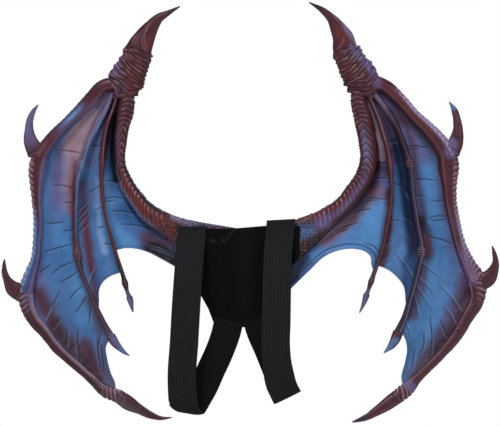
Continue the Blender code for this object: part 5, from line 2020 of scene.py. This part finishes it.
@dataclass(frozen=True)
class Studio:
    """The plain pale studio and its camera. Lengths are in metres, the lens and sensor in mm."""

    floor_height: float = -0.65
    floor_radius: float = 5.0
    floor_corners: int = 96
    floor_grey: float = 0.9
    camera_place: Place = (0.0, -6.0, 0.11264)
    camera_turn: Place = (math.pi / 2, 0.0, 0.0)
    camera_reach: float = 100.0
    lens: float = 245.45
    sensor: float = 36.0
    world_tint: tuple[float, ...] = (0.93, 0.96, 1.0, 1.0)
    world_light: float = 0.3
    lamps: tuple[Lamp, ...] = (
        Lamp("key", (-1.1, -2.4, 2.9), (0, 0, 0.1), 1.2, 92.0),
        Lamp("fill", (2.6, -2.2, 1.2), (0, 0, 0.0), 1.6, 26.0, (0.95, 0.97, 1.0)),
        Lamp("back", (0.4, 2.6, 1.8), (0, 0, 0.1), 2.0, 30.0),
    )

    def build(self) -> None:
        """Builds the floor, the light, the pale world and the camera."""
        bpy.context.scene.view_settings.view_transform = "Standard"
        self.world()
        self.floor()
        for lamp in self.lamps:
            lamp.hang()
        camera = bpy.data.cameras.new("camera")
        camera.sensor_width = self.sensor
        camera.lens = self.lens
        camera.clip_end = self.camera_reach
        bpy.context.scene.camera = put("camera", camera, self.camera_place, self.camera_turn)

    def world(self) -> None:
        """Makes a white world, dimmer as light than it looks."""
        world = bpy.data.worlds.new("pale")
        world.use_nodes = True
        tree, nodes = Tree(world.node_tree), world.node_tree.nodes
        seen = nodes["Background"]
        tree.fill(seen, {"Color": (1.0, 1.0, 1.0, 1.0), "Strength": 1.0})
        lit = tree.node("ShaderNodeBackground", {"Color": self.world_tint, "Strength": self.world_light})
        path = tree.node("ShaderNodeLightPath").outputs["Is Camera Ray"]
        mix = tree.node("ShaderNodeMixShader", {0: path, 1: lit.outputs[0], 2: seen.outputs[0]})
        tree.fill(nodes["World Output"], {"Surface": mix.outputs[0]})
        bpy.context.scene.world = world

    def floor(self) -> None:
        """Makes a pale round floor below the wings."""
        turns = np.linspace(0, 2 * math.pi, self.floor_corners + 1)[:-1]
        points = [
            (self.floor_radius * math.cos(t), self.floor_radius * math.sin(t), self.floor_height)
            for t in turns
        ]
        mesh = bpy.data.meshes.new("floor")
        mesh.from_pydata(points, [], [tuple(range(len(points)))])
        made, tree, shader = new_material("pale_floor")
        tree.fill(shader, {"Base Color": (*[self.floor_grey] * 3, 1.0), "Roughness": 0.8})
        mesh.materials.append(made)
        put("floor", mesh)


def main() -> None:
    """Builds the wings, the harness and the studio."""
    logging.basicConfig(level=logging.INFO, format="%(name)s %(message)s")
    left = Wing(
        "left_", 1, LEFT, LEFT_PANELS, LEFT_PLATE,
        LEFT_TRIMS, LEFT_RIDGES, LEFT_BONE_STROKES, LEFT_MEMBRANE_STROKES, LEFT_CREASES, LEFT_VEINS,
    )
    right = Wing(
        "right_", -1, RIGHT, RIGHT_PANELS, RIGHT_PLATE,
        RIGHT_TRIMS, RIGHT_RIDGES, RIGHT_BONE_STROKES, RIGHT_MEMBRANE_STROKES, RIGHT_CREASES, RIGHT_VEINS,
    )
    left.build()
    right.build()
    straps = {"left_strap": LEFT_STRAP, "right_strap": RIGHT_STRAP}
    Harness(BACK_PANEL, straps, {"left_strap": 1.0, "right_strap": 0.0}).build()
    Studio().build()
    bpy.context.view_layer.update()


if __name__ == "__main__":
    main()
